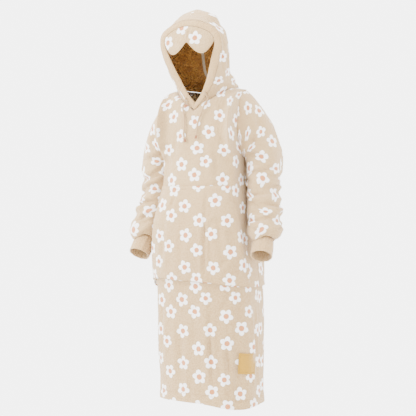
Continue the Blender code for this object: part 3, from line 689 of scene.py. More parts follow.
def soft_shader(tree, shader, colour, relief, bump, values):
    """Links colour and relief, and sets roughness, specular level and the sheen's weight."""
    strength, distance = bump
    raised = node(
        tree, "ShaderNodeBump", {"Strength": strength, "Distance": distance, "Height": relief}
    )
    tree.links.new(colour, shader.inputs["Base Color"])
    tree.links.new(raised.outputs[0], shader.inputs["Normal"])
    for key, value in zip(("Roughness", "Specular IOR Level", "Sheen Weight"), values):
        shader.inputs[key].default_value = value


def flower_group():
    """One lattice of five-petal flowers, each turned and moved a little in its square."""
    tree = bpy.data.node_groups.new("flower lattice", "ShaderNodeTree")
    for label, kind, value in (
        ("Place", "NodeSocketVector", None),
        ("Repeat", "NodeSocketFloat", 0.116),
        ("Flower", "NodeSocketFloat", 0.054),
        ("Seed", "NodeSocketFloat", 1.0),
    ):
        socket = tree.interface.new_socket(name=label, in_out="INPUT", socket_type=kind)
        if value is not None:
            socket.default_value = value
    for label in ("Petals", "Middle"):
        tree.interface.new_socket(name=label, in_out="OUTPUT", socket_type="NodeSocketFloat")
    given = node(tree, "NodeGroupInput")
    repeat = given.outputs["Repeat"]
    scaled = node(
        tree,
        "ShaderNodeVectorMath",
        {0: given.outputs["Place"], "Scale": maths(tree, "DIVIDE", 1.0, repeat)},
        operation="SCALE",
    ).outputs[0]
    square = vector_maths(tree, "FLOOR", scaled)
    seed = node(tree, "ShaderNodeCombineXYZ", {"Z": given.outputs["Seed"]}).outputs[0]
    random = node(
        tree,
        "ShaderNodeTexWhiteNoise",
        {"Vector": vector_maths(tree, "ADD", square, seed)},
        noise_dimensions="3D",
    ).outputs["Color"]
    centred = vector_maths(tree, "SUBTRACT", random, (0.5, 0.5, 0.5))
    moved = vector_maths(tree, "MULTIPLY", centred, (0.22, 0.22, 0.0))
    local = vector_maths(tree, "SUBTRACT", scaled, square)
    local = vector_maths(tree, "SUBTRACT", local, (0.5, 0.5, 0.0))
    local = vector_maths(tree, "SUBTRACT", local, moved)
    parts = node(tree, "ShaderNodeSeparateXYZ", {0: local})
    draws = node(tree, "ShaderNodeSeparateXYZ", {0: random})
    x, y = parts.outputs["X"], parts.outputs["Y"]
    squares = maths(tree, "ADD", maths(tree, "MULTIPLY", x, x), maths(tree, "MULTIPLY", y, y))
    reach = maths(tree, "SQRT", squares)
    size = maths(tree, "MULTIPLY_ADD", draws.outputs["X"], 0.14, 0.93)
    half = maths(tree, "MULTIPLY", maths(tree, "MULTIPLY", given.outputs["Flower"], 0.5), size)
    reach = maths(tree, "DIVIDE", maths(tree, "MULTIPLY", reach, repeat), half)
    turn = maths(tree, "MULTIPLY_ADD", draws.outputs["Z"], 6.283, 10.0)
    angle = maths(tree, "ADD", maths(tree, "ARCTAN2", y, x), turn)
    fold = maths(tree, "PINGPONG", angle, math.pi / 5)
    along = maths(tree, "MULTIPLY", reach, maths(tree, "COSINE", fold))
    aside = maths(tree, "MULTIPLY", reach, maths(tree, "SINE", fold))
    long = maths(tree, "DIVIDE", maths(tree, "SUBTRACT", along, 0.60), 0.42)
    short = maths(tree, "DIVIDE", aside, 0.36)
    short = maths(tree, "MULTIPLY", short, short)
    oval = maths(tree, "ADD", maths(tree, "MULTIPLY", long, long), short)
    petal = ramp(tree, oval, 1.12, 0.86)
    heart = ramp(tree, reach, 0.46, 0.40)
    petals = maths(tree, "MAXIMUM", petal, heart)
    middle = ramp(tree, reach, 0.42, 0.35)
    node(tree, "NodeGroupOutput", {"Petals": petals, "Middle": middle})
    return tree


def print_over(tree, ground, place, chart, shade, clumps, group, settings):
    """Lays two offset lattices of flowers on the ground colour, a little ragged at the edges."""
    drift = node(tree, "ShaderNodeTexNoise", {"Vector": place, "Scale": 160.0, "Detail": 2.0})
    drift = vector_maths(tree, "SUBTRACT", drift.outputs["Color"], (0.5, 0.5, 0.5))
    drift = vector_maths(tree, "MULTIPLY", drift, (0.0045, 0.0045, 0.0))
    drawn = vector_maths(tree, "ADD", chart, drift)
    petals, middles = [], []
    for seed, shift in ((3.0, 20.0), (11.0, 20.0 + settings.spacing / 2)):
        lattice = node(
            tree,
            "ShaderNodeGroup",
            {
                "Place": vector_maths(tree, "ADD", drawn, (shift, shift, 0.0)),
                "Repeat": settings.spacing,
                "Flower": settings.flower,
                "Seed": seed,
            },
            node_tree=group,
        )
        petals.append(lattice.outputs["Petals"])
        middles.append(lattice.outputs["Middle"])
    petal = maths(tree, "MAXIMUM", *petals)
    middle = maths(tree, "MAXIMUM", *middles)
    # Painted shade: petals darker in the hollows between the tufts
    wear_and_shade = maths(tree, "MULTIPLY", shade, 0.6)
    white = mix_colours(tree, wear_and_shade, settings.petal, tinted(settings.petal, (0.86, 0.82, 0.80)))
    gold = mix_colours(tree, clumps, settings.middle, tinted(settings.middle, (0.86, 0.78, 0.7)))
    ground = mix_colours(tree, maths(tree, "MULTIPLY", petal, 0.94), ground, white)
    return mix_colours(tree, maths(tree, "MULTIPLY", middle, 0.92), ground, gold)


def plush_finish(name, colour, printed, group, settings):
    """Short soft pile with a mottled nap, painted shade in the hollows between the tufts (stronger towards the
    bottom) and a painted highlight on the raised clumps; the print lies on it where the cloth is printed.
    """
    made, tree, shader = new_finish(name)
    place = node(tree, "ShaderNodeTexCoord").outputs["Object"]
    chart = node(tree, "ShaderNodeUVMap", uv_map=CLOTH_MAP).outputs[0]
    fine = noise(tree, place, 620.0, 3.0, 0.6)
    tufts = cells(tree, place, 175.0)
    clumps = noise(tree, place, 95.0, 2.0)
    mottle = noise(tree, place, 13.0, 3.0, 0.55)
    height = node(tree, "ShaderNodeSeparateXYZ", {0: place}).outputs["Z"]
    # How strongly the painted shade between the tufts shows: stronger towards the bottom
    coarse_shade = ramp(tree, height, -0.15, -0.85, 0.35, 1.0)
    # Painted shade: darker away from each tuft's middle, in the hollows between the tufts
    shade = ramp(tree, tufts, 0.15, 0.85)
    shade = maths(tree, "MULTIPLY", shade, maths(tree, "MULTIPLY", coarse_shade, 0.75))
    # light is a painted highlight colour and dark a painted shade colour
    dull, light, dark = (
        tinted(colour, by) for by in ((0.95, 0.93, 0.90), (1.10, 1.12, 1.16), (0.76, 0.70, 0.60))
    )
    ground = mix_colours(tree, ramp(tree, mottle, 0.3, 0.7), dull, colour)
    # Painted highlight: the raised clumps are lighter and cooler
    ground = mix_colours(tree, ramp(tree, clumps, 0.45, 0.75, 0.0, 0.55), ground, light)
    # Painted shade between the tufts laid over the ground colour
    ground = mix_colours(tree, shade, ground, dark)
    if printed:
        ground = print_over(tree, ground, place, chart, shade, clumps, group, settings)
    pile = maths(tree, "MULTIPLY_ADD", fine, 0.35, maths(tree, "MULTIPLY", tufts, -0.75))
    pile = maths(tree, "MULTIPLY_ADD", clumps, 0.8, pile)
    soft_shader(tree, shader, ground, pile, (0.9, 0.003), (0.96, 0.15, 0.22))
    shader.inputs["Sheen Roughness"].default_value = 0.55
    shader.inputs["Sheen Tint"].default_value = (1.0, 0.96, 0.90, 1.0)
    return made


def lining_finish(colour):
    """Curly pile: tight curls with painted shade in the hollows and a painted highlight on the paler strand tips.
    """
    made, tree, shader = new_finish("curly lining")
    place = node(tree, "ShaderNodeTexCoord").outputs["Object"]
    curls = cells(tree, place, 190.0)
    loops = cells(tree, place, 330.0, "SMOOTH_F1")
    strands = noise(tree, place, 520.0, 3.0, 0.65)
    mottle = noise(tree, place, 42.0, 3.0, 0.6)
    deep = ramp(tree, curls, 0.15, 0.8)
    dull, bright, hollow, tip = (
        tinted(colour, by)
        for by in ((0.80, 0.72, 0.62), (1.22, 1.25, 1.2), (0.50, 0.42, 0.36), (1.6, 1.75, 2.2))
    )
    base = mix_colours(tree, ramp(tree, mottle, 0.35, 0.65), dull, bright)
    # Painted shade: darker in the hollows between the curls
    base = mix_colours(tree, maths(tree, "MULTIPLY", deep, 0.7), base, hollow)
    # Painted highlight: paler, cooler colour where the strands stand up
    base = mix_colours(tree, ramp(tree, strands, 0.6, 0.8, 0.0, 0.35), base, tip)
    pile = maths(tree, "MULTIPLY_ADD", curls, -1.0, maths(tree, "MULTIPLY", strands, 0.4))
    pile = maths(tree, "MULTIPLY_ADD", loops, -0.5, pile)
    soft_shader(tree, shader, base, pile, (0.8, 0.003), (0.95, 0.2, 0.3))
    shader.inputs["Sheen Roughness"].default_value = 0.5
    return made


def woven_finish(name, colour, ribs_across, ribs_along, strength, rough):
    """A woven or knitted finish whose threads follow the cloth map, with painted shade where the weave sinks
    between the threads.
    """
    made, tree, shader = new_finish(name)
    chart = node(tree, "ShaderNodeUVMap", uv_map=CLOTH_MAP).outputs[0]
    place = node(tree, "ShaderNodeTexCoord").outputs["Object"]
    parts = node(tree, "ShaderNodeSeparateXYZ", {0: chart})
    warp = maths(tree, "SINE", maths(tree, "MULTIPLY", parts.outputs["X"], 2 * math.pi * ribs_across))
    weft = maths(tree, "SINE", maths(tree, "MULTIPLY", parts.outputs["Y"], 2 * math.pi * ribs_along))
    weave = maths(tree, "MULTIPLY", warp, weft)
    fuzz = noise(tree, place, 900.0, 2.0)
    # Painted shade: darker where the weave sinks between the threads
    dark = ramp(tree, weave, 0.4, -0.9, 0.0, 0.5)
    # Lighter patches of wear at random, not tied to the weave
    wear_and_shade = noise(tree, place, 60.0, 2.0)
    base = mix_colours(tree, dark, colour, tinted(colour, (0.66, 0.60, 0.55)))
    base = mix_colours(tree, ramp(tree, wear_and_shade, 0.5, 0.8, 0.0, 0.4), base, tinted(colour, (1.12, 1.12, 1.2)))
    relief = maths(tree, "MULTIPLY_ADD", fuzz, 0.5, weave)
    soft_shader(tree, shader, base, relief, (strength, 0.0005), (rough, 0.3, 0.12))
    return made


def finishes():
    """Every finish of the garment, made once."""
    ready = {made.name: made for made in bpy.data.materials}
    if "printed plush" in ready:
        return ready
    scene = bpy.context.scene
    cloth, pattern, trim = scene.garment_cloth, scene.garment_print, scene.garment_trim
    group = flower_group()
    plush = tuple(cloth.plush)
    plush_finish("printed plush", plush, True, group, pattern)
    plush_finish("plain plush", tinted(plush, (1.0, 0.97, 0.92)), False, group, pattern)
    lining_finish(tuple(cloth.lining))
    border = tinted(trim.patch, (0.50, 0.42, 0.5))
    for name, colour, ribs_across, ribs_along, strength, rough in (
        ("woven tape", cloth.tape, 700.0, 420.0, 0.5, 0.8),
        ("drawstring knit", trim.cord, 320.0, 150.0, 0.7, 0.8),
        ("bound end", trim.tip, 30.0, 900.0, 0.6, 0.6),
        ("woven patch", trim.patch, 620.0, 620.0, 0.5, 0.62),
        ("patch border", border, 900.0, 900.0, 0.5, 0.6),
        ("seam thread", trim.thread_colour, 800.0, 800.0, 0.4, 0.75),
    ):
        woven_finish(name, tuple(colour), ribs_across, ribs_along, strength, rough)
    return {made.name: made for made in bpy.data.materials}


def stitch_tree():
    """Short thread bars set along every edge line that comes in."""
    found = bpy.data.node_groups.get("stitches")
    if found:
        return found
    tree = bpy.data.node_groups.new("stitches", "GeometryNodeTree")
    tree.interface.new_socket(name="Geometry", in_out="INPUT", socket_type="NodeSocketGeometry")
    for label, kind in (
        ("Stitch", "NodeSocketFloat"),
        ("Gap", "NodeSocketFloat"),
        ("Thread", "NodeSocketFloat"),
        ("Seed", "NodeSocketInt"),
        ("Finish", "NodeSocketMaterial"),
    ):
        tree.interface.new_socket(name=label, in_out="INPUT", socket_type=kind)
    tree.interface.new_socket(name="Geometry", in_out="OUTPUT", socket_type="NodeSocketGeometry")
    given = node(tree, "NodeGroupInput")
    line = node(tree, "GeometryNodeMeshToCurve", {"Mesh": given.outputs["Geometry"]})
    pitch = node(
        tree, "ShaderNodeMath", {0: given.outputs["Stitch"], 1: given.outputs["Gap"]}, operation="ADD"
    )
    even = node(
        tree,
        "GeometryNodeResampleCurve",
        {"Curve": line.outputs["Curve"], "Length": pitch.outputs[0]},
        mode="LENGTH",
    )
    half = node(tree, "ShaderNodeMath", {0: given.outputs["Stitch"], 1: 0.5}, operation="MULTIPLY")
    size = node(
        tree,
        "ShaderNodeCombineXYZ",
        {"X": half.outputs[0], "Y": given.outputs["Thread"], "Z": given.outputs["Thread"]},
    )
    ball = node(tree, "GeometryNodeMeshUVSphere", {"Segments": 6, "Rings": 4, "Radius": 1.0})
    turned = node(
        tree,
        "GeometryNodeTransform",
        {"Geometry": ball.outputs["Mesh"], "Rotation": (0.0, math.pi / 2, 0.0)},
    )
    bar = node(
        tree, "GeometryNodeTransform", {"Geometry": turned.outputs[0], "Scale": size.outputs[0]}
    )
    tangent = node(tree, "GeometryNodeInputTangent")
    random = node(
        tree,
        "FunctionNodeRandomValue",
        {"Min": (-0.10, -0.10, -0.10), "Max": (0.10, 0.10, 0.10), "Seed": given.outputs["Seed"]},
        data_type="FLOAT_VECTOR",
    )
    heading = node(
        tree, "ShaderNodeVectorMath", {0: tangent.outputs[0], 1: random.outputs[0]}, operation="ADD"
    )
    align = node(
        tree, "FunctionNodeAlignRotationToVector", {"Vector": heading.outputs[0]}, axis="X"
    )
    placed = node(
        tree,
        "GeometryNodeInstanceOnPoints",
        {"Points": even.outputs[0], "Instance": bar.outputs[0], "Rotation": align.outputs[0]},
    )
    real = node(tree, "GeometryNodeRealizeInstances", {"Geometry": placed.outputs[0]})
    dressed = node(
        tree,
        "GeometryNodeSetMaterial",
        {"Geometry": real.outputs[0], "Material": given.outputs["Finish"]},
    )
    node(tree, "NodeGroupOutput", {"Geometry": dressed.outputs[0]})
    return tree


def stitches(name, lines, finish, seed, longer=1.0, thicker=1.0):
    """One piece of real stitches along lines of points."""
    trim = bpy.context.scene.garment_trim
    points, edges = [], []
    for line in lines:
        start = len(points)
        points.extend(np.asarray(line).tolist())
        edges.extend((start + i, start + i + 1) for i in range(len(line) - 1))
    guide = bpy.data.meshes.new(name + "_guide")
    guide.from_pydata(points, edges, [])
    holder = bpy.data.objects.new(name + "_guide", guide)
    bpy.context.scene.collection.objects.link(holder)
    tree = stitch_tree()
    modifier = holder.modifiers.new("stitches", "NODES")
    modifier.node_group = tree
    values = {
        "Stitch": trim.stitch * longer,
        "Gap": trim.gap * longer,
        "Thread": trim.thread * thicker,
        "Seed": seed,
        "Finish": finish,
    }
    for item in tree.interface.items_tree:
        if item.in_out == "INPUT" and item.name in values:
            modifier[item.identifier] = values[item.name]
    holder.update_tag()
    bpy.context.view_layer.update()
    graph = bpy.context.evaluated_depsgraph_get()
    mesh = bpy.data.meshes.new_from_object(holder.evaluated_get(graph))
    mesh.name = name
    bpy.data.objects.remove(holder, do_unlink=True)
    if not mesh.polygons:
        raise RuntimeError(f"{name}: no stitches were made")
    if not mesh.uv_layers:
        mesh.uv_layers.new(name=CLOTH_MAP)
    mesh.uv_layers[0].name = CLOTH_MAP
    mesh.shade_smooth()
    made = bpy.data.objects.new(name, mesh)
    bpy.context.scene.collection.objects.link(made)
    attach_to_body(made, BODY_NAME)
    return made


def fold_out(folds, turn, height):
    """How far the large folds push a ring out or in."""
    total = np.zeros(np.broadcast(turn, height).shape)
    for centre, spread, out, top, bottom in zip(*folds.values()):
        away = (turn - centre + 180.0) % 360.0 - 180.0
        middle = (top + bottom) / 2
        reach = (top - bottom) / 2
        along = np.clip(1.0 - ((height - middle) / reach) ** 2, 0.0, 1.0)
        total = total + out * along * bell(away, spread)
    return total


def ring_points(sections, folds, turn, height):
    half_width = read_table(sections, "height", "half_width", height)
    half_depth = read_table(sections, "height", "half_depth", height)
    power = 2.0 / read_table(sections, "height", "squareness", height)
    angle = np.radians(turn)
    across = np.sign(np.sin(angle)) * np.abs(np.sin(angle)) ** power
    forward = -np.sign(np.cos(angle)) * np.abs(np.cos(angle)) ** power
    out = fold_out(folds, turn, height)
    x = across * (half_width + out) + read_table(sections, "height", "centre_x", height)
    y = forward * (half_depth + out) + read_table(sections, "height", "centre_y", height)
    return np.stack(np.broadcast_arrays(x, y, height), axis=-1)


def edge_height(base, edge, turn):
    """Height of a lower edge that rises and falls round the body."""
    return base + read_table(edge, "turn", "rise", (turn + 180.0) % 360.0 - 180.0)


def neck_points(across, front):
    """Points of the neckline, deeper in front than behind."""
    share = np.clip(np.abs(across) / NECK_HALF_WIDTH, 0.0, 1.0)
    lift = 1.0 - share
    if front:
        y = SHOULDER_Y + (NECK_FRONT_Y - SHOULDER_Y) * (1.0 - share**2.0) ** 0.62
        z = SHOULDER_RISE + (NECK_FRONT_Z - SHOULDER_RISE) * lift**0.85
    else:
        y = SHOULDER_Y + (NECK_BACK_Y - SHOULDER_Y) * (1.0 - share**2.2) ** 0.6
        z = SHOULDER_RISE * (1.0 - lift**0.6)
    return np.stack([across, y, z], axis=-1)


def yoke_grid(base, front):
    """Rows of a body panel from the underarm up over the shoulder to the neckline."""
    sign = -1.0 if front else 1.0
    share = base[:, 0] / ARMHOLE_X
    top = np.empty_like(base)
    in_neck = np.abs(base[:, 0]) < NECK_HALF_WIDTH
    span = ARMHOLE_X - NECK_HALF_WIDTH
    outside = np.clip((np.abs(base[:, 0]) - NECK_HALF_WIDTH) / span, 0.0, 1.0)
    top[:, 0] = base[:, 0]
    top[:, 1] = SHOULDER_Y
    top[:, 2] = SHOULDER_RISE * (1.0 - outside)
    top[in_neck] = neck_points(base[in_neck, 0], front)
    rows = []
    for step in range(1, YOKE_ROWS + 1):
        part = step / YOKE_ROWS
        climb = math.sin(math.pi * part / 2) ** 2
        depth = (1.0 - climb**3.0) ** (1.0 / 3.0)
        row = np.empty_like(base)
        row[:, 0] = base[:, 0]
        row[:, 2] = base[:, 2] + (top[:, 2] - base[:, 2]) * climb
        row[:, 1] = top[:, 1] + (base[:, 1] - top[:, 1]) * depth
        row[:, 1] += sign * ARMHOLE_HALF_DEEP * math.sin(math.pi * part) * np.abs(share) ** 6
        rows.append(row)
    return np.array(rows)


def half_ring_turns(start):
    """Turns of a panel's columns, evenly spaced from one side seam to the other."""
    turn = start + np.linspace(0.0, 180.0, PANEL_COLUMNS + 1)
    return (turn + 180.0) % 360.0 - 180.0


def body_grid(front):
    turn = half_ring_turns(-90.0 if front else 90.0)
    low = edge_height(TIER_HEIGHT, TIER_EDGE, turn)
    rows = []
    for part in np.linspace(0.0, 1.0, BODY_ROWS):
        height = low + (UNDERARM_HEIGHT - low) * part
        rows.append(ring_points(BODY_SECTIONS, BODY_FOLDS, turn, height))
    rows = np.array(rows)
    grid = np.concatenate([rows, yoke_grid(rows[-1], front)])
    eased = ease_rows(grid.copy(), BODY_ROWS - 14, BODY_ROWS + 16, 60)
    inside = smooth_step(np.minimum(np.arange(PANEL_COLUMNS + 1), np.arange(PANEL_COLUMNS + 1)[::-1]) / 10.0)
    return grid + (eased - grid) * inside[None, :, None]


def seam_gaps(skin):
    skin[:, 0] += unit(skin[:, 1] - skin[:, 0]) * SEAM / 2
    skin[:, -1] += unit(skin[:, -2] - skin[:, -1]) * SEAM / 2
    return skin


def seam_groove(distance, width=0.0035, depth=0.0012):
    return -depth * bell(distance, width)


def panel_skins(grid, normal, chart, creases, seed, fade, extra=0.0):
    """The outer and inner skin of a panel with its creases, waves and nap."""
    cloth = bpy.context.scene.garment_cloth
    out = crease_out(chart[..., 0], grid[..., 2], creases) * cloth.crease
    out = (out + soft_waves(chart, seed, PANEL_WAVES, cloth.sway)) * fade + extra
    smooth = grid + normal * out[..., None]
    grain = nap(grid.shape[:2], seed + 50) * cloth.nap * smooth_step(fade * 3.0)
    return smooth + normal * grain[..., None], smooth - normal * cloth.thickness


def side_distance(chart):
    """Distance along the cloth to the nearer side of a panel."""
    return np.minimum(chart[..., 0] - chart[:, :1, 0], chart[:, -1:, 0] - chart[..., 0])


class GARMENT_OT_body(bpy.types.Operator):
    """Builds the front and back of the upper layer"""

    bl_idname = "garment.body"
    bl_label = "Body panels"

    def execute(self, context):
        look = finishes()
        for name, front, creases, seed in (
            ("front_body_cloth", True, FRONT_CREASES, 1),
            ("back_body_cloth", False, BACK_CREASES, 2),
        ):
            grid = body_grid(front)
            normal = grid_normals(grid)
            for side in (0, -1):
                normal[:BODY_ROWS, side, 1] = 0.0
                normal[BODY_ROWS:, side, 0] = 0.0
            shoulder = np.abs(grid[-1, :, 0]) >= NECK_HALF_WIDTH
            normal[-1, shoulder, 1] = 0.0
            normal = unit(normal)
            chart = chart_of(grid, PANEL_COLUMNS // 2, int(PANEL_COLUMNS * 0.8))
            if not front:
                chart[..., 0] *= -1.0
            plain = chart.copy()
            if not front:
                chart[..., 0] += PRINT_START["back_body"]
            from_side = np.abs(plain - plain[:, :1])
            fade = edge_fade(from_side, SEAM_EASE)
            groove = seam_groove(np.abs(side_distance(plain - plain[:, :1])))
            above = lengths_along(grid, 0)
            lip = 0.0011 * smooth_step((TIER_FOLD - above) / 0.006)
            lip = lip - 0.0010 * bell(above - TIER_FOLD - 0.001, 0.003)
            outer, inner = panel_skins(grid, normal, plain, creases, seed, fade, groove + lip)
            for skin in (outer, inner):
                seam_gaps(skin)
                skin[-1] += unit(skin[-2] - skin[-1]) * SEAM / 2
            piece = shell(name, outer, inner, chart, look["printed plush"])
            attach(piece, ["front_body" if front else "back_body"])
        return {"FINISHED"}


def skirt_grid(front):
    turn = half_ring_turns(-90.0 if front else 90.0)
    low = edge_height(HEM_HEIGHT, HEM_EDGE, turn)
    edge = edge_height(TIER_HEIGHT, TIER_EDGE, turn)
    rows = []
    for part in np.linspace(0.0, 1.0, SKIRT_ROWS):
        height = low + (edge - TIER_SHOW - low) * part
        rows.append(ring_points(SKIRT_SECTIONS, SKIRT_FOLDS, turn, height))
    under = ring_points(UNDER_BODY, BODY_FOLDS, turn, edge + TIER_TUCK / 4)
    last = rows[-1]
    for part in (0.33, 0.67):
        rows.append(last + (under - last) * part)
    rows.append(under)
    for rise in (TIER_TUCK / 2, TIER_TUCK):
        rows.append(ring_points(UNDER_BODY, BODY_FOLDS, turn, edge + rise))
    return np.array(rows)


class GARMENT_OT_skirt(bpy.types.Operator):
    """Builds the lower tier with its turned-up hem and stitches"""

    bl_idname = "garment.skirt"
    bl_label = "Lower tier"

    def execute(self, context):
        look = finishes()
        hem = context.scene.garment_cloth.hem
        for name, front, creases, seed in (
            ("front_skirt", True, FRONT_SKIRT_CREASES, 3),
            ("back_skirt", False, BACK_SKIRT_CREASES, 4),
        ):
            grid = skirt_grid(front)
            normal = grid_normals(grid)
            for side in (0, -1):
                normal[:, side, 1] = 0.0
            normal = unit(normal)
            chart = np.stack([lengths_along(grid, 1), grid[..., 2]], axis=-1)
            chart[..., 0] -= chart[:, PANEL_COLUMNS // 2 : PANEL_COLUMNS // 2 + 1, 0]
            plain = chart.copy()
            chart[..., 0] += PRINT_START[name]
            above = lengths_along(grid, 0)
            tucked = np.clip((above[-1:] - above) / 0.055, 0.0, 1.0)
            fade = edge_fade(plain, SEAM_EASE, rows=False) * smooth_step(tucked)
            groove = seam_groove(np.abs(side_distance(plain)))
            fold = 0.0012 * smooth_step((hem - above) / 0.007)
            line = 0.0012 * bell(above - hem, 0.0035)
            pucker = 0.0005 * np.sin(plain[..., 0] * 2 * math.pi / PUCKER_LENGTH)
            pucker = pucker * bell(above - hem, 0.012)
            outer, inner = panel_skins(
                grid, normal, plain, creases, seed, fade, groove + fold - line + pucker
            )
            seam_gaps(outer)
            seam_gaps(inner)
            piece = shell(name + "_cloth", outer, inner, chart, look["printed plush"])
            attach(piece, [name])
            row = int(np.argmin(np.abs(above[:, 0] - hem)))
            path = outer[row, 2:-2] + normal[row, 2:-2] * 0.0002
            sewn = stitches(name + "_hem_stitches", [path], look["seam thread"], seed)
        return {"FINISHED"}


def pocket_grid():
    share = np.linspace(-1.0, 1.0, POCKET_COLUMNS + 1)
    rows, puffs = [], []
    for part in np.linspace(0.0, 1.0, POCKET_ROWS):
        low = edge_height(TIER_HEIGHT, TIER_EDGE, 60.0 * share) + POCKET_TUCK
        height = low + (POCKET_EDGE["height"][-1] - low) * part
        reach = read_table(POCKET_EDGE, "height", "half_reach", height)
        turn = 90.0 * share * reach
        rows.append(ring_points(BODY_SECTIONS, BODY_FOLDS, turn, height))
        sides = 1.0 - 0.55 * share**4
        mouth = bell(height - POCKET_MOUTH_HEIGHT, POCKET_MOUTH_REACH)
        sewn = 1.0 - smooth_step((np.abs(share) - 0.80) / 0.20) * (1.0 - 0.85 * mouth)
        puffs.append(math.sin(math.pi * part) ** 0.7 * sides * sewn)
    return np.array(rows), np.array(puffs)


class GARMENT_OT_pocket(bpy.types.Operator):
    """Builds the hand pocket with its open curved sides"""

    bl_idname = "garment.pocket"
    bl_label = "Pocket"

    def execute(self, context):
        look = finishes()
        thick = context.scene.garment_cloth.thickness
        surface, puffs = pocket_grid()
        normal = grid_normals(surface)
        grid = surface + normal * (POCKET_CLEAR + POCKET_PUFF * puffs + thick)[..., None]
        chart = np.stack([lengths_along(grid, 1), grid[..., 2]], axis=-1)
        chart[..., 0] -= chart[:, POCKET_COLUMNS // 2 : POCKET_COLUMNS // 2 + 1, 0]
        plain = chart.copy()
        chart += PRINT_START["pocket"]
        away = np.minimum(side_distance(plain), lengths_along(grid, 0)[-1:] - lengths_along(grid, 0))
        fade = smooth_step(away / 0.020)
        line = 0.0009 * bell(away - POCKET_STITCH, 0.0028)
        outer, inner = panel_skins(grid, normal, plain, POCKET_CREASES, 5, fade, -line)
        piece = shell("pocket_cloth", outer, inner, chart, look["printed plush"])
        attach(piece, ["pocket"])
        from_side = side_distance(plain)[POCKET_ROWS // 2, : POCKET_COLUMNS // 2]
        column = int(np.argmin(np.abs(from_side - POCKET_STITCH)))
        row = POCKET_ROWS - 4
        raised = outer + normal * 0.0002
        lines = [
            raised[1 : row + 1, column],
            raised[1 : row + 1, POCKET_COLUMNS - column],
            raised[row, column : POCKET_COLUMNS - column + 1],
        ]
        sewn = stitches("pocket_stitches", lines, look["seam thread"], 5)
        return {"FINISHED"}


def fan_reach(angle):
    """How far the sleeve's outer side is from the underarm, as the rings turn from upright."""
    low, span = SLEEVE_BEND
    rise = max(0.0, (angle - low) / span)
    return SLEEVE_REACH + (ARMHOLE_TALL - SLEEVE_REACH) * rise**2.1


def tilted_ring(centre, along, radius, around):
    along = unit(np.array(along))
    left = unit(np.array((1.0, 0.0, 0.0)) - along[0] * along)
    back = np.cross(along, left)
    back = back if back[1] > 0 else -back
    radius = np.broadcast_to(np.asarray(radius, float), around.shape)[:, None]
    return np.array(centre) + radius * (np.outer(np.cos(around), left) - np.outer(np.sin(around), back))


def fan_ring(angle, around):
    reach = fan_reach(angle)
    turned = math.radians(angle)
    late = 1.0 - angle / 90.0
    pivot = np.array([ARMHOLE_X + SEAM + 0.003 * late, 0.0, UNDERARM_HEIGHT - 0.010 * late])
    up = np.array([math.cos(turned), 0.0, math.sin(turned)])
    climb = (1.0 + np.cos(around)) / 2
    back = SHOULDER_Y * (1.0 - (1.0 - climb**3) ** (1 / 3)) * (1.0 - late) + 0.021 * late
    deep = ARMHOLE_HALF_DEEP * (1.0 - late) + SLEEVE_ROLLS["half_deep"][0] * late
    depth = back - deep * np.sin(around)
    return pivot + np.outer(reach * climb, up) + np.outer(depth, (0.0, 1.0, 0.0))


def roll_ring(drop, around, unevenness):
    centre_x, centre_y, wide, deep, tilt = (
        float(read_table(SLEEVE_ROLLS, "drop", column, drop))
        for column in ("centre_x", "centre_y", "half_wide", "half_deep", "tilt")
    )
    slack = 1.0 + unevenness * np.sin(around * 2 + 17.0 * drop) * smooth_step((drop - 0.30) / 0.08)
    x = centre_x + wide * slack * np.cos(around)
    y = centre_y - deep * slack * np.sin(around)
    z = -drop + tilt * np.cos(around - 0.9)
    z = z + 0.4 * unevenness * np.sin(around * 3 + 31.0 * drop)
    return np.stack([x, y, z], axis=-1)


def sleeve_grid(unevenness):
    """Rings from the armhole down to the cuff, gathered at the end."""
    around = even_turns(SLEEVE_SIDES)
    rings = [fan_ring(angle, around) for angle in np.linspace(90.0, 15.0, FAN_RINGS)]
    drops = np.linspace(SLEEVE_ROLLS["drop"][0], SLEEVE_ROLLS["drop"][-1], ROLL_RINGS)
    rolls = [roll_ring(drop, around, unevenness) for drop in drops]
    for part in np.linspace(0.0, 1.0, 9)[1:-1]:
        rings.append(rings[FAN_RINGS - 1] * (1.0 - part) + rolls[0] * part)
    join = len(rings)
    rings.extend(rolls)
    run = unit(CUFF_RUN)
    last = tilted_ring(CUFF_START - run * SEAM, run, CUFF_RADIUS_TOP, around)
    for part in np.linspace(0.0, 1.0, 9)[1:]:
        gathers = 1.0 + 0.012 * np.sin(part * math.pi) * np.sin(around * 13 + 1.0)
        ring = rolls[-1] * (1.0 - part) + last * part
        centre = ring.mean(axis=0)
        rings.append(centre + (ring - centre) * gathers[:, None])
    grid = np.array(rings)
    return ease_rows(grid, join - 16, join + 10, 14), around


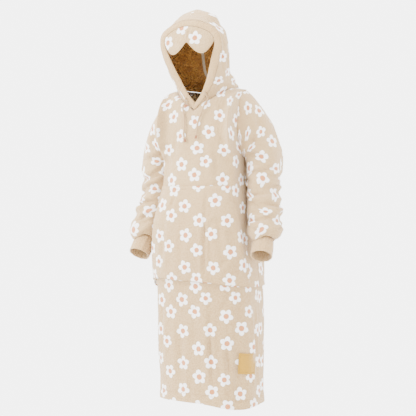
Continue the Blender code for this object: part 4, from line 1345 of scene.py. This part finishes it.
class GARMENT_OT_sleeves(bpy.types.Operator):
    """Builds both sleeves, bunched above plain cuffs"""

    bl_idname = "garment.sleeves"
    bl_label = "Sleeves and cuffs"

    def execute(self, context):
        look = finishes()
        cloth = context.scene.garment_cloth
        for side, sign, creases, seed, uneven in (
            ("left", 1.0, LEFT_SLEEVE_CREASES, 6, 0.020),
            ("right", -1.0, RIGHT_SLEEVE_CREASES, 7, -0.026),
        ):
            grid, around = sleeve_grid(uneven)
            normal = grid_normals(grid, wrap=True)
            normal[0, :, 0] = 0.0
            normal = unit(normal)
            chart = chart_of(grid, 0, 0, wrap=True)
            plain = chart[:, :-1].copy()
            total = chart[:, -1:, 0]
            plain[..., 0] = np.where(plain[..., 0] > total / 2, plain[..., 0] - total, plain[..., 0])
            rows = len(grid)
            from_top = lengths_along(grid, 0).mean(axis=1)
            ends = smooth_step(from_top / 0.030) * smooth_step((from_top[-1] - from_top) / 0.020)
            fade = np.repeat(ends[:, None], SLEEVE_SIDES, axis=1)
            out = crease_out(plain[..., 0], grid[..., 2], creases) * cloth.crease
            under = np.clip(np.abs(plain[..., 0]) / 0.15, 0.0, 1.0)
            out = out + soft_waves(plain, seed, NARROW_WAVES, cloth.sway * 1.1) * (1.0 - 0.6 * under**4)
            out = out * fade + np.repeat(seam_groove(from_top)[:, None], SLEEVE_SIDES, axis=1)
            smooth = grid + normal * out[..., None]
            outer = smooth + normal * (nap((rows, SLEEVE_SIDES), seed + 50) * cloth.nap * fade)[..., None]
            inner = smooth - normal * cloth.thickness
            mirror = np.array((sign, 1.0, 1.0))
            outer_run = np.broadcast_to(lengths_along(grid, 0)[:, :1], chart.shape[:2])
            placed = np.stack([chart[..., 0], -outer_run], axis=-1)
            placed = placed + np.array((PRINT_START["sleeve"] + seed, 0.02 * seed))
            piece = shell(
                f"sleeve_{side}_cloth",
                outer * mirror,
                inner * mirror,
                placed,
                look["printed plush"],
                wrap=True,
                flip=sign < 0,
            )
            attach(piece, [f"sleeve_{side}"])
            self.cuff(context, side, mirror, around, seed)
        return {"FINISHED"}

    def cuff(self, context, side, mirror, around, seed):
        """A plain folded cuff with a few soft gathers."""
        look = finishes()
        cloth = context.scene.garment_cloth
        rings = []
        for part in np.linspace(0.0, 1.0, CUFF_RINGS):
            radius = CUFF_RADIUS_TOP + (CUFF_RADIUS_END - CUFF_RADIUS_TOP) * part
            radius += 0.002 * math.sin(math.pi * part)
            gathers = 0.0007 * np.sin(around * 9 + seed) + 0.0005 * np.sin(around * 14 + 2.0 * seed)
            lip = 0.0010 * bell(part - CUFF_LIP_PLACE, CUFF_LIP_WIDTH) - 0.0012 * bell(part, CUFF_LIP_WIDTH)
            rings.append(tilted_ring(CUFF_START + CUFF_RUN * part, CUFF_RUN, radius + gathers + lip, around))
        grid = np.array(rings)
        normal = grid_normals(grid, wrap=True)
        chart = chart_of(grid, 0, 0, wrap=True)
        ends = np.minimum(np.linspace(0.0, 1.0, CUFF_RINGS), np.linspace(1.0, 0.0, CUFF_RINGS))
        grain = nap(grid.shape[:2], seed + 70) * cloth.nap * 0.7 * smooth_step(ends / 0.08)[:, None]
        outer = (grid + normal * grain[..., None]) * mirror
        inner = (grid - normal * cloth.thickness) * mirror
        name = f"cuff_{side}"
        piece = shell(
            name + "_cloth", outer, inner, chart, look["plain plush"], wrap=True, flip=mirror[0] < 0
        )
        attach(piece, [name])
        line = (grid[2] + normal[2] * 0.0004) * mirror
        sewn = stitches(name + "_stitches", [np.concatenate([line, line[:1]])], look["seam thread"], seed)


def clear_of_band(grid):
    """Draws the rim back from the band, taken up over the first few columns."""
    run = lengths_along(grid, 1)
    moved = np.where(run < RIM_EASE, BAND_CLEAR + run * (1.0 - BAND_CLEAR / RIM_EASE), run)
    drawn = grid.copy()
    for row, (places, wanted) in enumerate(zip(run, moved)):
        for axis in range(3):
            drawn[row, :, axis] = np.interp(wanted, places, grid[row, :, axis])
    return drawn


def hood_grid():
    """Outer points of the hood's left half, rows from the neck up to the seam over the top."""
    rows = []
    for along in np.linspace(0.0, 1.0, HOOD_ROWS):
        start = RIM_START + (1 - RIM_START) * along
        rim = [float(read_table(OPENING, "along", c, start)) for c in EDGE_COLUMNS]
        side = [float(read_table(HOOD_SECTIONS, "along", c, along)) for c in ("side_x", "side_y", "side_z")]
        back = [float(read_table(HOOD_SECTIONS, "along", c, along)) for c in ("back_y", "back_z")]
        first = min(rim[0] / side[0], 0.985) if side[0] > 1e-4 else 0.4
        share = first + (1.0 - first) * np.sin(math.pi / 2 * np.linspace(0.0, 1.0, HOOD_SIDE_COLUMNS))
        drawn = ((1.0 - share**2) / (1.0 - first**2)) ** 0.62
        y = side[1] + (rim[1] - side[1]) * drawn
        z = side[2] + (rim[2] - side[2]) * (1.0 - (1.0 - drawn) ** 0.75)
        front_part = np.stack([share * side[0], y, z], axis=-1)
        swing = math.pi / 2 * np.linspace(0.0, 1.0, HOOD_BACK_COLUMNS)[1:]
        y = side[1] + (back[0] - side[1]) * np.sin(swing) ** 0.9
        z = side[2] + (back[1] - side[2]) * np.sin(swing) ** 2
        back_part = np.stack([side[0] * np.abs(np.cos(swing)) ** 0.9, y, z], axis=-1)
        back_part[-1, 0] = 0.0
        if along == 0.0:
            front_part = neck_points(front_part[:, 0], True)
            back_part = neck_points(back_part[:, 0], False)
        rows.append(np.concatenate([front_part, back_part]))
    grid = np.array(rows)
    grid[0, :, 2] += NECK_CLEAR
    return clear_of_band(grid)


def hood_lean(points):
    """The back of the hood hangs a little to the wearer's right."""
    lean = smooth_step((points[..., 1] + 0.13) / 0.11) * smooth_step(points[..., 2] / 0.09)
    moved = points.copy()
    moved[..., 0] += HOOD_LEAN * lean
    return moved


class GARMENT_OT_hood(bpy.types.Operator):
    """Builds the two halves of the hood, their curly lining and the seam tape"""

    bl_idname = "garment.hood"
    bl_label = "Hood and lining"

    def execute(self, context):
        look = finishes()
        cloth = context.scene.garment_cloth
        grid = hood_grid()
        normal = grid_normals(grid)
        normal[:, -1, 0] = 0.0
        normal[-1, :, 0] = 0.0
        normal = unit(normal)
        normal[-1, -1] = unit(normal[-2, -1] + normal[-1, -2])
        chart = chart_of(grid, 0, HOOD_SIDE_COLUMNS - 1)
        from_rim = lengths_along(grid, 1)
        from_back = from_rim[:, -1:] - from_rim
        from_neck = lengths_along(grid, 0)
        from_top = from_neck[-1:] - from_neck
        away = np.minimum(np.minimum(from_rim, from_back), np.minimum(from_neck, from_top))
        fade = smooth_step(away / HOOD_EASE)
        seam = seam_groove(np.minimum(from_back, from_top), 0.0045, 0.0016)
        neck = seam_groove(from_neck, 0.0040, 0.0007)
        shape = grid.shape[:2]
        for side, sign, creases, seed in (
            ("left", 1.0, LEFT_HOOD_CREASES, 8),
            ("right", -1.0, RIGHT_HOOD_CREASES, 9),
        ):
            out = crease_out(from_rim, grid[..., 2], creases) * cloth.crease
            out = (out + soft_waves(chart, seed, NARROW_WAVES, cloth.sway * 0.8)) * fade + seam + neck
            smooth = grid + normal * out[..., None]
            fuzz = nap(shape, seed + 50) * cloth.nap * fade
            skins = [smooth + normal * fuzz[..., None], smooth - normal * HOOD_CLOTH]
            placed = chart * np.array((sign, 1.0)) + np.array((PRINT_START["hood"] + seed, 0.03))
            piece = shell(
                f"hood_{side}_cloth",
                *[self.side_of(skin, sign) for skin in skins],
                placed,
                look["printed plush"],
                flip=sign < 0,
            )
            attach(piece, [f"hood_{side}"])
            curls = nap(shape, seed + 60) * LINING_CURL * smooth_step(away / 0.012)
            behind = smooth - normal * (HOOD_CLOTH + SEAM)
            facing = behind - normal * (LINING_CLOTH + curls)[..., None]
            lining = shell(
                f"hood_lining_{side}_cloth",
                *[self.side_of(skin, sign) for skin in (behind, facing)],
                placed,
                look["curly lining"],
                flip=sign < 0,
            )
            attach(lining, [f"hood_lining_{side}"])
        depth = HOOD_CLOTH + SEAM + LINING_CLOTH + TAPE_CLEAR
        self.tape(grid - normal * depth, normal, look)
        return {"FINISHED"}

    def side_of(self, skin, sign):
        turned = skin.copy()
        turned[..., 0] = np.maximum(turned[..., 0], SEAM / 2) * sign
        return hood_lean(turned)

    def tape(self, inside, normal, look):
        """The pale tape over the lining's middle seam."""
        first = 6
        path = inside[first:-4, -1]
        outward = normal[first:-4, -1]
        share = np.linspace(-1.0, 1.0, 9)
        crown = 0.0005 * (1.0 - share**4)
        skins = []
        for depth in (0.0, TAPE_THICK):
            middle = path - outward * depth
            skin = np.repeat(middle[:, None], len(share), axis=1)
            skin[..., 0] = share * TAPE_WIDTH / 2
            if depth:
                skin -= outward[:, None] * crown[None, :, None]
            skins.append(hood_lean(skin))
        chart = np.stack([lengths_along(skins[0], 1), lengths_along(skins[0], 0)], axis=-1)
        piece = shell("hood_seam_tape_cloth", skins[0], skins[1], chart, look["woven tape"])
        attach(piece, ["hood_seam_tape"])


def opening_points(along):
    """Inner and outer edge of the hood's band, from the throat up to the crown."""
    inner = np.stack([read_table(OPENING, "along", c, along) for c in ("x", "y", "z")], axis=-1)
    outer = np.stack([read_table(OPENING, "along", c, along) for c in EDGE_COLUMNS], axis=-1)
    return inner, outer


def tube_piece(name, rings, chart, finish, closed):
    """A tube through rings of points, joined end to end or capped."""
    count, sides = rings.shape[:2]
    index = np.arange(count * sides).reshape(count, sides)
    after = np.roll(index, -1, axis=0) if closed else index[1:]
    here = index if closed else index[:-1]
    corners = [here, np.roll(here, -1, axis=1), np.roll(after, -1, axis=1), after]
    faces = np.stack(corners, -1).reshape(-1, 4)
    last = len(here)
    low, high = chart[:last], chart[1 : last + 1]
    places = np.stack([low[:, :-1], low[:, 1:], high[:, 1:], high[:, :-1]], -2)
    points = rings.reshape(-1, 3)
    faces = faces.tolist()
    maps = places.reshape(-1, 2).tolist()
    if not closed:
        for ring, ring_map in ((index[0][::-1], chart[0, :-1][::-1]), (index[-1], chart[-1, :-1])):
            faces.append(ring.tolist())
            maps.extend(ring_map.tolist())
    mesh = bpy.data.meshes.new(name)
    mesh.from_pydata(points.tolist(), [], faces)
    layer = mesh.uv_layers.new(name=CLOTH_MAP)
    layer.data.foreach_set("uv", np.array(maps, np.float32).ravel())
    middle = rings[0].mean(axis=0)
    first = mesh.polygons[0]
    if first.normal.dot(first.center - Vector(middle)) < 0:
        mesh.flip_normals()
    mesh.shade_smooth()
    made = bpy.data.objects.new(name, mesh)
    made.data.materials.append(finish)
    bpy.context.scene.collection.objects.link(made)
    return made


class GARMENT_OT_band(bpy.types.Operator):
    """Builds the plain soft band round the hood's opening"""

    bl_idname = "garment.band"
    bl_label = "Hood band"

    def execute(self, context):
        look = finishes()
        along = np.linspace(0.0, 1.0, BAND_STEPS)
        inner, outer = opening_points(along)
        mirror = np.array((-1.0, 1.0, 1.0))
        inner = np.concatenate([inner, (inner * mirror)[-2:0:-1]])
        outer = np.concatenate([outer, (outer * mirror)[-2:0:-1]])
        reach = outer - inner
        out = unit(reach)
        half = reach / 2 - out * SEAM
        middle = inner + half
        track = unit(np.roll(middle, -1, axis=0) - np.roll(middle, 1, axis=0))
        thick = unit(np.cross(out, track)) * BAND_THICK / 2
        angle = even_turns(BAND_SIDES)
        round_out = np.sign(np.cos(angle)) * np.abs(np.cos(angle)) ** BAND_ROUNDNESS
        round_up = np.sign(np.sin(angle)) * np.abs(np.sin(angle)) ** BAND_ROUNDNESS
        gaps = np.linalg.norm(np.roll(middle, -1, axis=0) - middle, axis=1)
        steps = np.concatenate([[0.0], np.cumsum(gaps)])
        run = steps[:-1]
        (large, long), (small, short) = BAND_GATHERS
        gathers = 1.0 + large * np.sin(run * 2 * math.pi / long + 2 * np.sin(run * 31.0))
        gathers = gathers + small * np.sin(run * 2 * math.pi / short + 1.3)
        groove = 1.0 - 0.22 * bell(round_out - BAND_STITCH, 0.10)
        body = half[:, None] * round_out[:, None]
        body = body + thick[:, None] * (round_up * groove)[:, None] * gathers[:, None, None]
        rings = middle[:, None] + body
        fuzz = nap(rings.shape[:2], 12) * context.scene.garment_cloth.nap * 0.6
        rings = rings + unit(rings - middle[:, None]) * fuzz[..., None]
        girth = np.linspace(0.0, 0.06, BAND_SIDES + 1)
        chart = np.stack(np.broadcast_arrays(girth[None, :], steps[:, None]), axis=-1)
        piece = tube_piece("hood_band_cloth", rings, chart, look["plain plush"], True)
        attach(piece, ["hood_band"])
        place = int(np.argmin(np.abs(round_out - BAND_STITCH) + (round_up > 0)))
        other = int(np.argmin(np.abs(round_out - BAND_STITCH) + (round_up < 0)))
        facing = min((place, other), key=lambda j: rings[:, j, 1].mean())
        line = rings[:, facing] + unit(rings[:, facing] - middle) * 0.0004
        stitches("hood_band_stitches", [np.concatenate([line, line[:1]])], look["seam thread"], 13)
        return {"FINISHED"}


class GARMENT_OT_mask(bpy.types.Operator):
    """Builds the two-lobed printed flap in the hood's opening"""

    bl_idname = "garment.mask"
    bl_label = "Eye mask"

    def execute(self, context):
        look = finishes()
        cloth = context.scene.garment_cloth
        share = np.linspace(-1.0, 1.0, MASK_COLUMNS + 1)
        along = 1.0 - MASK_SPAN * np.abs(share) ** 1.1
        top, _ = opening_points(along)
        top[:, 0] *= np.sign(share)
        flat = (top - MASK_AIM) * np.array((1.0, 0.0, 1.0))
        top -= unit(flat) * MASK_CLEAR
        depth = MASK_FRONT - MASK_BELLY * (1.0 - share**2)
        low = read_table(MASK_EDGE, "across", "z", share)
        bottom = np.stack([share * MASK_HALF_WIDTH, depth, low], axis=-1)
        part = np.linspace(0.0, 1.0, MASK_ROWS)[:, None, None]
        grid = bottom[None] * (1.0 - part) + top[None] * part
        normal = grid_normals(grid)
        up = lengths_along(grid, 0)
        edge = np.minimum(np.minimum(up, up[-1:] - up), side_distance(grid[..., ::2]))
        puff = MASK_THICK / 2 * (0.55 + 0.45 * smooth_step(edge / 0.012))
        puff = puff - 0.0009 * bell(up - MASK_STITCH, 0.0022)
        creases = crease_out(grid[..., 0], grid[..., 2], MASK_CREASES) * cloth.crease
        fuzz = nap(grid.shape[:2], 61) * cloth.nap * 0.8 * smooth_step(edge / 0.006)
        outer = grid + normal * (puff + creases + fuzz)[..., None]
        inner = grid - normal * (puff - creases)[..., None]
        chart = grid[..., ::2] + PRINT_START["mask"]
        piece = shell("eye_mask_cloth", outer, inner, chart, look["printed plush"])
        attach(piece, ["eye_mask"])
        row = int(np.argmin(np.abs(up[:, MASK_COLUMNS // 4] - MASK_STITCH)))
        line = outer[row, 3:-3] + normal[row, 3:-3] * 0.0003
        stitches("eye_mask_stitches", [line], look["seam thread"], 14)
        return {"FINISHED"}


def chest_y(x, z, grid):
    """Depth of the front panel above the underarm."""
    yoke = grid[BODY_ROWS - 1 :]
    column = np.interp(x, yoke[0, :, 0], np.arange(yoke.shape[1]))
    left = min(int(column), yoke.shape[1] - 2)
    part = column - left
    line = yoke[:, left] * (1.0 - part) + yoke[:, left + 1] * part
    return float(np.interp(z, line[:, 2], line[:, 1]))


def cord_path(side, route, grid):
    """A drawstring's middle line, out of its hole and down over the chest."""
    sign = 1.0 if side == "left" else -1.0
    inner, outer = (edge[0] for edge in opening_points(np.array([route["exit"]])))
    hole = inner + (outer - inner) * CORD_EXIT_SHARE
    hole[0] *= sign
    hole[1] -= BAND_THICK / 2 + CORD_HOLE_GAP
    stops = [hole, hole + np.array((0.0, -CORD_DIAMETER, -0.001))]
    for place, (x, z) in enumerate(zip(route["x"], route["z"])):
        off = CORD_OFF_HOOD if place < 2 else CORD_OFF_CHEST
        stops.append(np.array((x, chest_y(x, z, grid) - off, z)))
    stops = np.array(stops)
    run = np.concatenate([[0.0], np.cumsum(np.linalg.norm(np.diff(stops, axis=0), axis=1))])
    table = {"length": run, "x": stops[:, 0], "y": stops[:, 1], "z": stops[:, 2]}
    places = np.linspace(0.0, run[-1], CORD_STEPS)
    return np.stack([read_table(table, "length", column, places) for column in ("x", "y", "z")], axis=-1)


def rings_on(path, radius, sides):
    """Round sections square to a path, with their own turn kept even."""
    track = unit(np.gradient(path, axis=0))
    guide = np.array((1.0, 0.0, 0.0))
    aside = unit(guide - (track @ guide)[:, None] * track)
    up = np.cross(track, aside)
    angle = even_turns(sides)
    radius = np.broadcast_to(radius, (len(path), sides))
    round_way = aside[:, None] * np.cos(angle)[:, None] + up[:, None] * np.sin(angle)[:, None]
    return path[:, None] + round_way * radius[..., None]


class GARMENT_OT_cords(bpy.types.Operator):
    """Builds the drawstrings with their bound ends"""

    bl_idname = "garment.cords"
    bl_label = "Drawstrings"

    def execute(self, context):
        look = finishes()
        grid = body_grid(True)
        angle = even_turns(CORD_SIDES)
        for side, route in DRAWSTRINGS.items():
            path = cord_path(side, route, grid)
            run = lengths_along(path, 0)
            strands = 1.0 + 0.05 * np.cos(2 * angle[None, :] - run[:, None] * 2 * math.pi / 0.011)
            rings = rings_on(path, CORD_DIAMETER / 2 * strands * 0.98, CORD_SIDES)
            girth = np.linspace(0.0, math.pi * CORD_DIAMETER, CORD_SIDES + 1)
            chart = np.stack(np.broadcast_arrays(girth[None, :], run[:, None]), axis=-1)
            cord = tube_piece(f"drawstring_{side}_cord", rings, chart, look["drawstring knit"], False)
            attach(cord, [f"drawstring_{side}"])
            heading = unit(path[-1] - path[-2])
            start = path[-1] + heading * SEAM
            stations = np.linspace(0.0, 1.0, TIP_STATIONS)
            line = start + heading * (stations * TIP_LENGTH)[:, None]
            blunt = np.clip((stations - TIP_ROUND_START) / (1.02 - TIP_ROUND_START), 0.0, 1.0)
            round_end = np.sqrt(1.0 - blunt**2)
            turns = 1.0 + 0.035 * np.sin(stations * 2 * math.pi * 9)
            radius = CORD_DIAMETER / 2 * TIP_WIDER * turns * round_end * np.minimum(1.0, 0.82 + stations * 3)
            rings = rings_on(line, radius[:, None], CORD_SIDES)
            chart = np.stack(np.broadcast_arrays(girth[None, :], (stations * TIP_LENGTH)[:, None]), axis=-1)
            tip = tube_piece(f"cord_tip_{side}_binding", rings, chart, look["bound end"], False)
            attach(tip, [f"cord_tip_{side}"])
        return {"FINISHED"}


def label_place(across, up):
    """A point of the front skirt by its distances from the patch's middle."""
    height = LABEL_HEIGHT + up
    turns = np.linspace(0.0, 90.0, 200)
    line = ring_points(SKIRT_SECTIONS, SKIRT_FOLDS, turns, np.full(turns.shape, height))
    lengths = lengths_along(line, 0)
    place = np.interp(LABEL_TURN, turns, lengths) + across
    return [np.interp(place, lengths, line[:, axis]) for axis in range(3)]


class GARMENT_OT_label(bpy.types.Operator):
    """Builds the plain woven patch with its raised border and stitches"""

    bl_idname = "garment.label"
    bl_label = "Patch"

    def execute(self, context):
        look = finishes()
        tilt = math.radians(LABEL_TILT)
        steps = np.linspace(-LABEL_SIDE / 2, LABEL_SIDE / 2, LABEL_STEPS)
        cosine, sine = math.cos(tilt), math.sin(tilt)
        surface = np.array([
            [label_place(a * cosine + b * sine, b * cosine - a * sine) for a in steps]
            for b in steps
        ])
        normal = grid_normals(surface)
        aside = LABEL_SIDE / 2 - np.maximum(np.abs(steps)[None, :], np.abs(steps)[:, None])
        border = 0.0006 * smooth_step((LABEL_BORDER - aside) / 0.0012)
        clear = surface + normal * LABEL_CLEAR
        height = LABEL_THICK + border - 0.0003
        outer = clear + normal * height[..., None]
        chart = np.stack(np.meshgrid(steps, steps), axis=-1)
        piece = shell("label_patch", outer, clear, chart, look["woven patch"])
        attach(piece, ["label"])
        inset = int(LABEL_STEPS * LABEL_STITCH_SHARE)
        far = LABEL_STEPS - 1 - inset
        ring = [(inset, j) for j in range(inset, far)] + [(i, far) for i in range(inset, far)]
        ring += [(far, j) for j in range(far, inset, -1)] + [(i, inset) for i in range(far, inset - 1, -1)]
        line = np.array([outer[i, j] + normal[i, j] * 0.0003 for i, j in ring])
        sewn = stitches("label_stitches", [line], look["patch border"], 15, 0.8, 1.1)
        return {"FINISHED"}


def area_light(name, place, aim, size, power, colour):
    data = bpy.data.lights.new(name, "AREA")
    data.shape = "DISK"
    data.size = size
    data.energy = power
    data.color = colour
    made = bpy.data.objects.new(name, data)
    made.location = place
    made.rotation_euler = (Vector(aim) - Vector(place)).to_track_quat("-Z", "Y").to_euler()
    bpy.context.scene.collection.objects.link(made)


class GARMENT_OT_stage(bpy.types.Operator):
    """Builds the pale floor, the soft studio light and the camera"""

    bl_idname = "garment.stage"
    bl_label = "Floor, light and camera"

    def execute(self, context):
        scene = context.scene
        world = bpy.data.worlds.new("studio paper")
        world.use_nodes = True
        paper = world.node_tree.nodes["Background"]
        paper.inputs["Color"].default_value = (PAPER_WHITE, PAPER_WHITE, PAPER_WHITE, 1.0)
        paper.inputs["Strength"].default_value = PAPER_LIGHT
        scene.world = world
        around = even_turns(FLOOR_SIDES)
        level = np.full(FLOOR_SIDES, FLOOR_HEIGHT)
        points = np.stack([FLOOR_RADIUS * np.cos(around), FLOOR_RADIUS * np.sin(around), level], -1)
        mesh = bpy.data.meshes.new("studio_floor")
        mesh.from_pydata(points.tolist(), [], [list(range(FLOOR_SIDES))])
        floor = bpy.data.objects.new("studio_floor", mesh)
        paint, tree, shader = new_finish("studio floor")
        place = node(tree, "ShaderNodeTexCoord").outputs["Object"]
        tone = ramp(tree, noise(tree, place, 3.0), 0.3, 0.7)
        colour = mix_colours(tree, tone, (0.80, 0.80, 0.80), (0.83, 0.83, 0.83))
        tree.links.new(colour, shader.inputs["Base Color"])
        shader.inputs["Roughness"].default_value = 0.9
        mesh.materials.append(paint)
        scene.collection.objects.link(floor)
        for light in LIGHTS:
            area_light(*light)
        data = bpy.data.cameras.new("camera")
        data.lens = CAMERA_LENS
        data.sensor_width = CAMERA_SENSOR
        data.shift_x = CAMERA_SHIFT
        camera = bpy.data.objects.new("camera", data)
        camera.location = CAMERA_PLACE
        aim = Vector(CAMERA_AIM) - Vector(CAMERA_PLACE)
        camera.rotation_euler = aim.to_track_quat("-Z", "Y").to_euler()
        scene.collection.objects.link(camera)
        scene.camera = camera
        return {"FINISHED"}


class GARMENT_PT_panel(bpy.types.Panel):
    """Sizes, colours and building steps of the garment"""

    bl_idname = "GARMENT_PT_panel"
    bl_label = "Garment"
    bl_space_type = "VIEW_3D"
    bl_region_type = "UI"
    bl_category = "Garment"

    def draw(self, context):
        for group in (context.scene.garment_cloth, context.scene.garment_print, context.scene.garment_trim):
            box = self.layout.box()
            for key in group.__annotations__:
                box.prop(group, key)
        for step in OPERATORS:
            self.layout.operator(step.bl_idname)


OPERATORS = (
    GARMENT_OT_stage,
    GARMENT_OT_cords,
    GARMENT_OT_body,
    GARMENT_OT_skirt,
    GARMENT_OT_pocket,
    GARMENT_OT_sleeves,
    GARMENT_OT_hood,
    GARMENT_OT_band,
    GARMENT_OT_mask,
    GARMENT_OT_label,
)
GROUPS = (GarmentClothSettings, GarmentPrintSettings, GarmentTrimSettings)


def register():
    for made in (*GROUPS, *OPERATORS, GARMENT_PT_panel):
        bpy.utils.register_class(made)
    bpy.types.Scene.garment_cloth = bpy.props.PointerProperty(type=GarmentClothSettings)
    bpy.types.Scene.garment_print = bpy.props.PointerProperty(type=GarmentPrintSettings)
    bpy.types.Scene.garment_trim = bpy.props.PointerProperty(type=GarmentTrimSettings)


def unregister():
    del bpy.types.Scene.garment_cloth
    del bpy.types.Scene.garment_print
    del bpy.types.Scene.garment_trim
    for made in reversed((*GROUPS, *OPERATORS, GARMENT_PT_panel)):
        bpy.utils.unregister_class(made)


def main():
    register()
    bpy.ops.garment.stage()
    bpy.ops.garment.cords()
    bpy.ops.garment.body()
    bpy.ops.garment.skirt()
    bpy.ops.garment.pocket()
    bpy.ops.garment.sleeves()
    bpy.ops.garment.hood()
    bpy.ops.garment.band()
    bpy.ops.garment.mask()
    bpy.ops.garment.label()


if __name__ == "__main__":
    main()
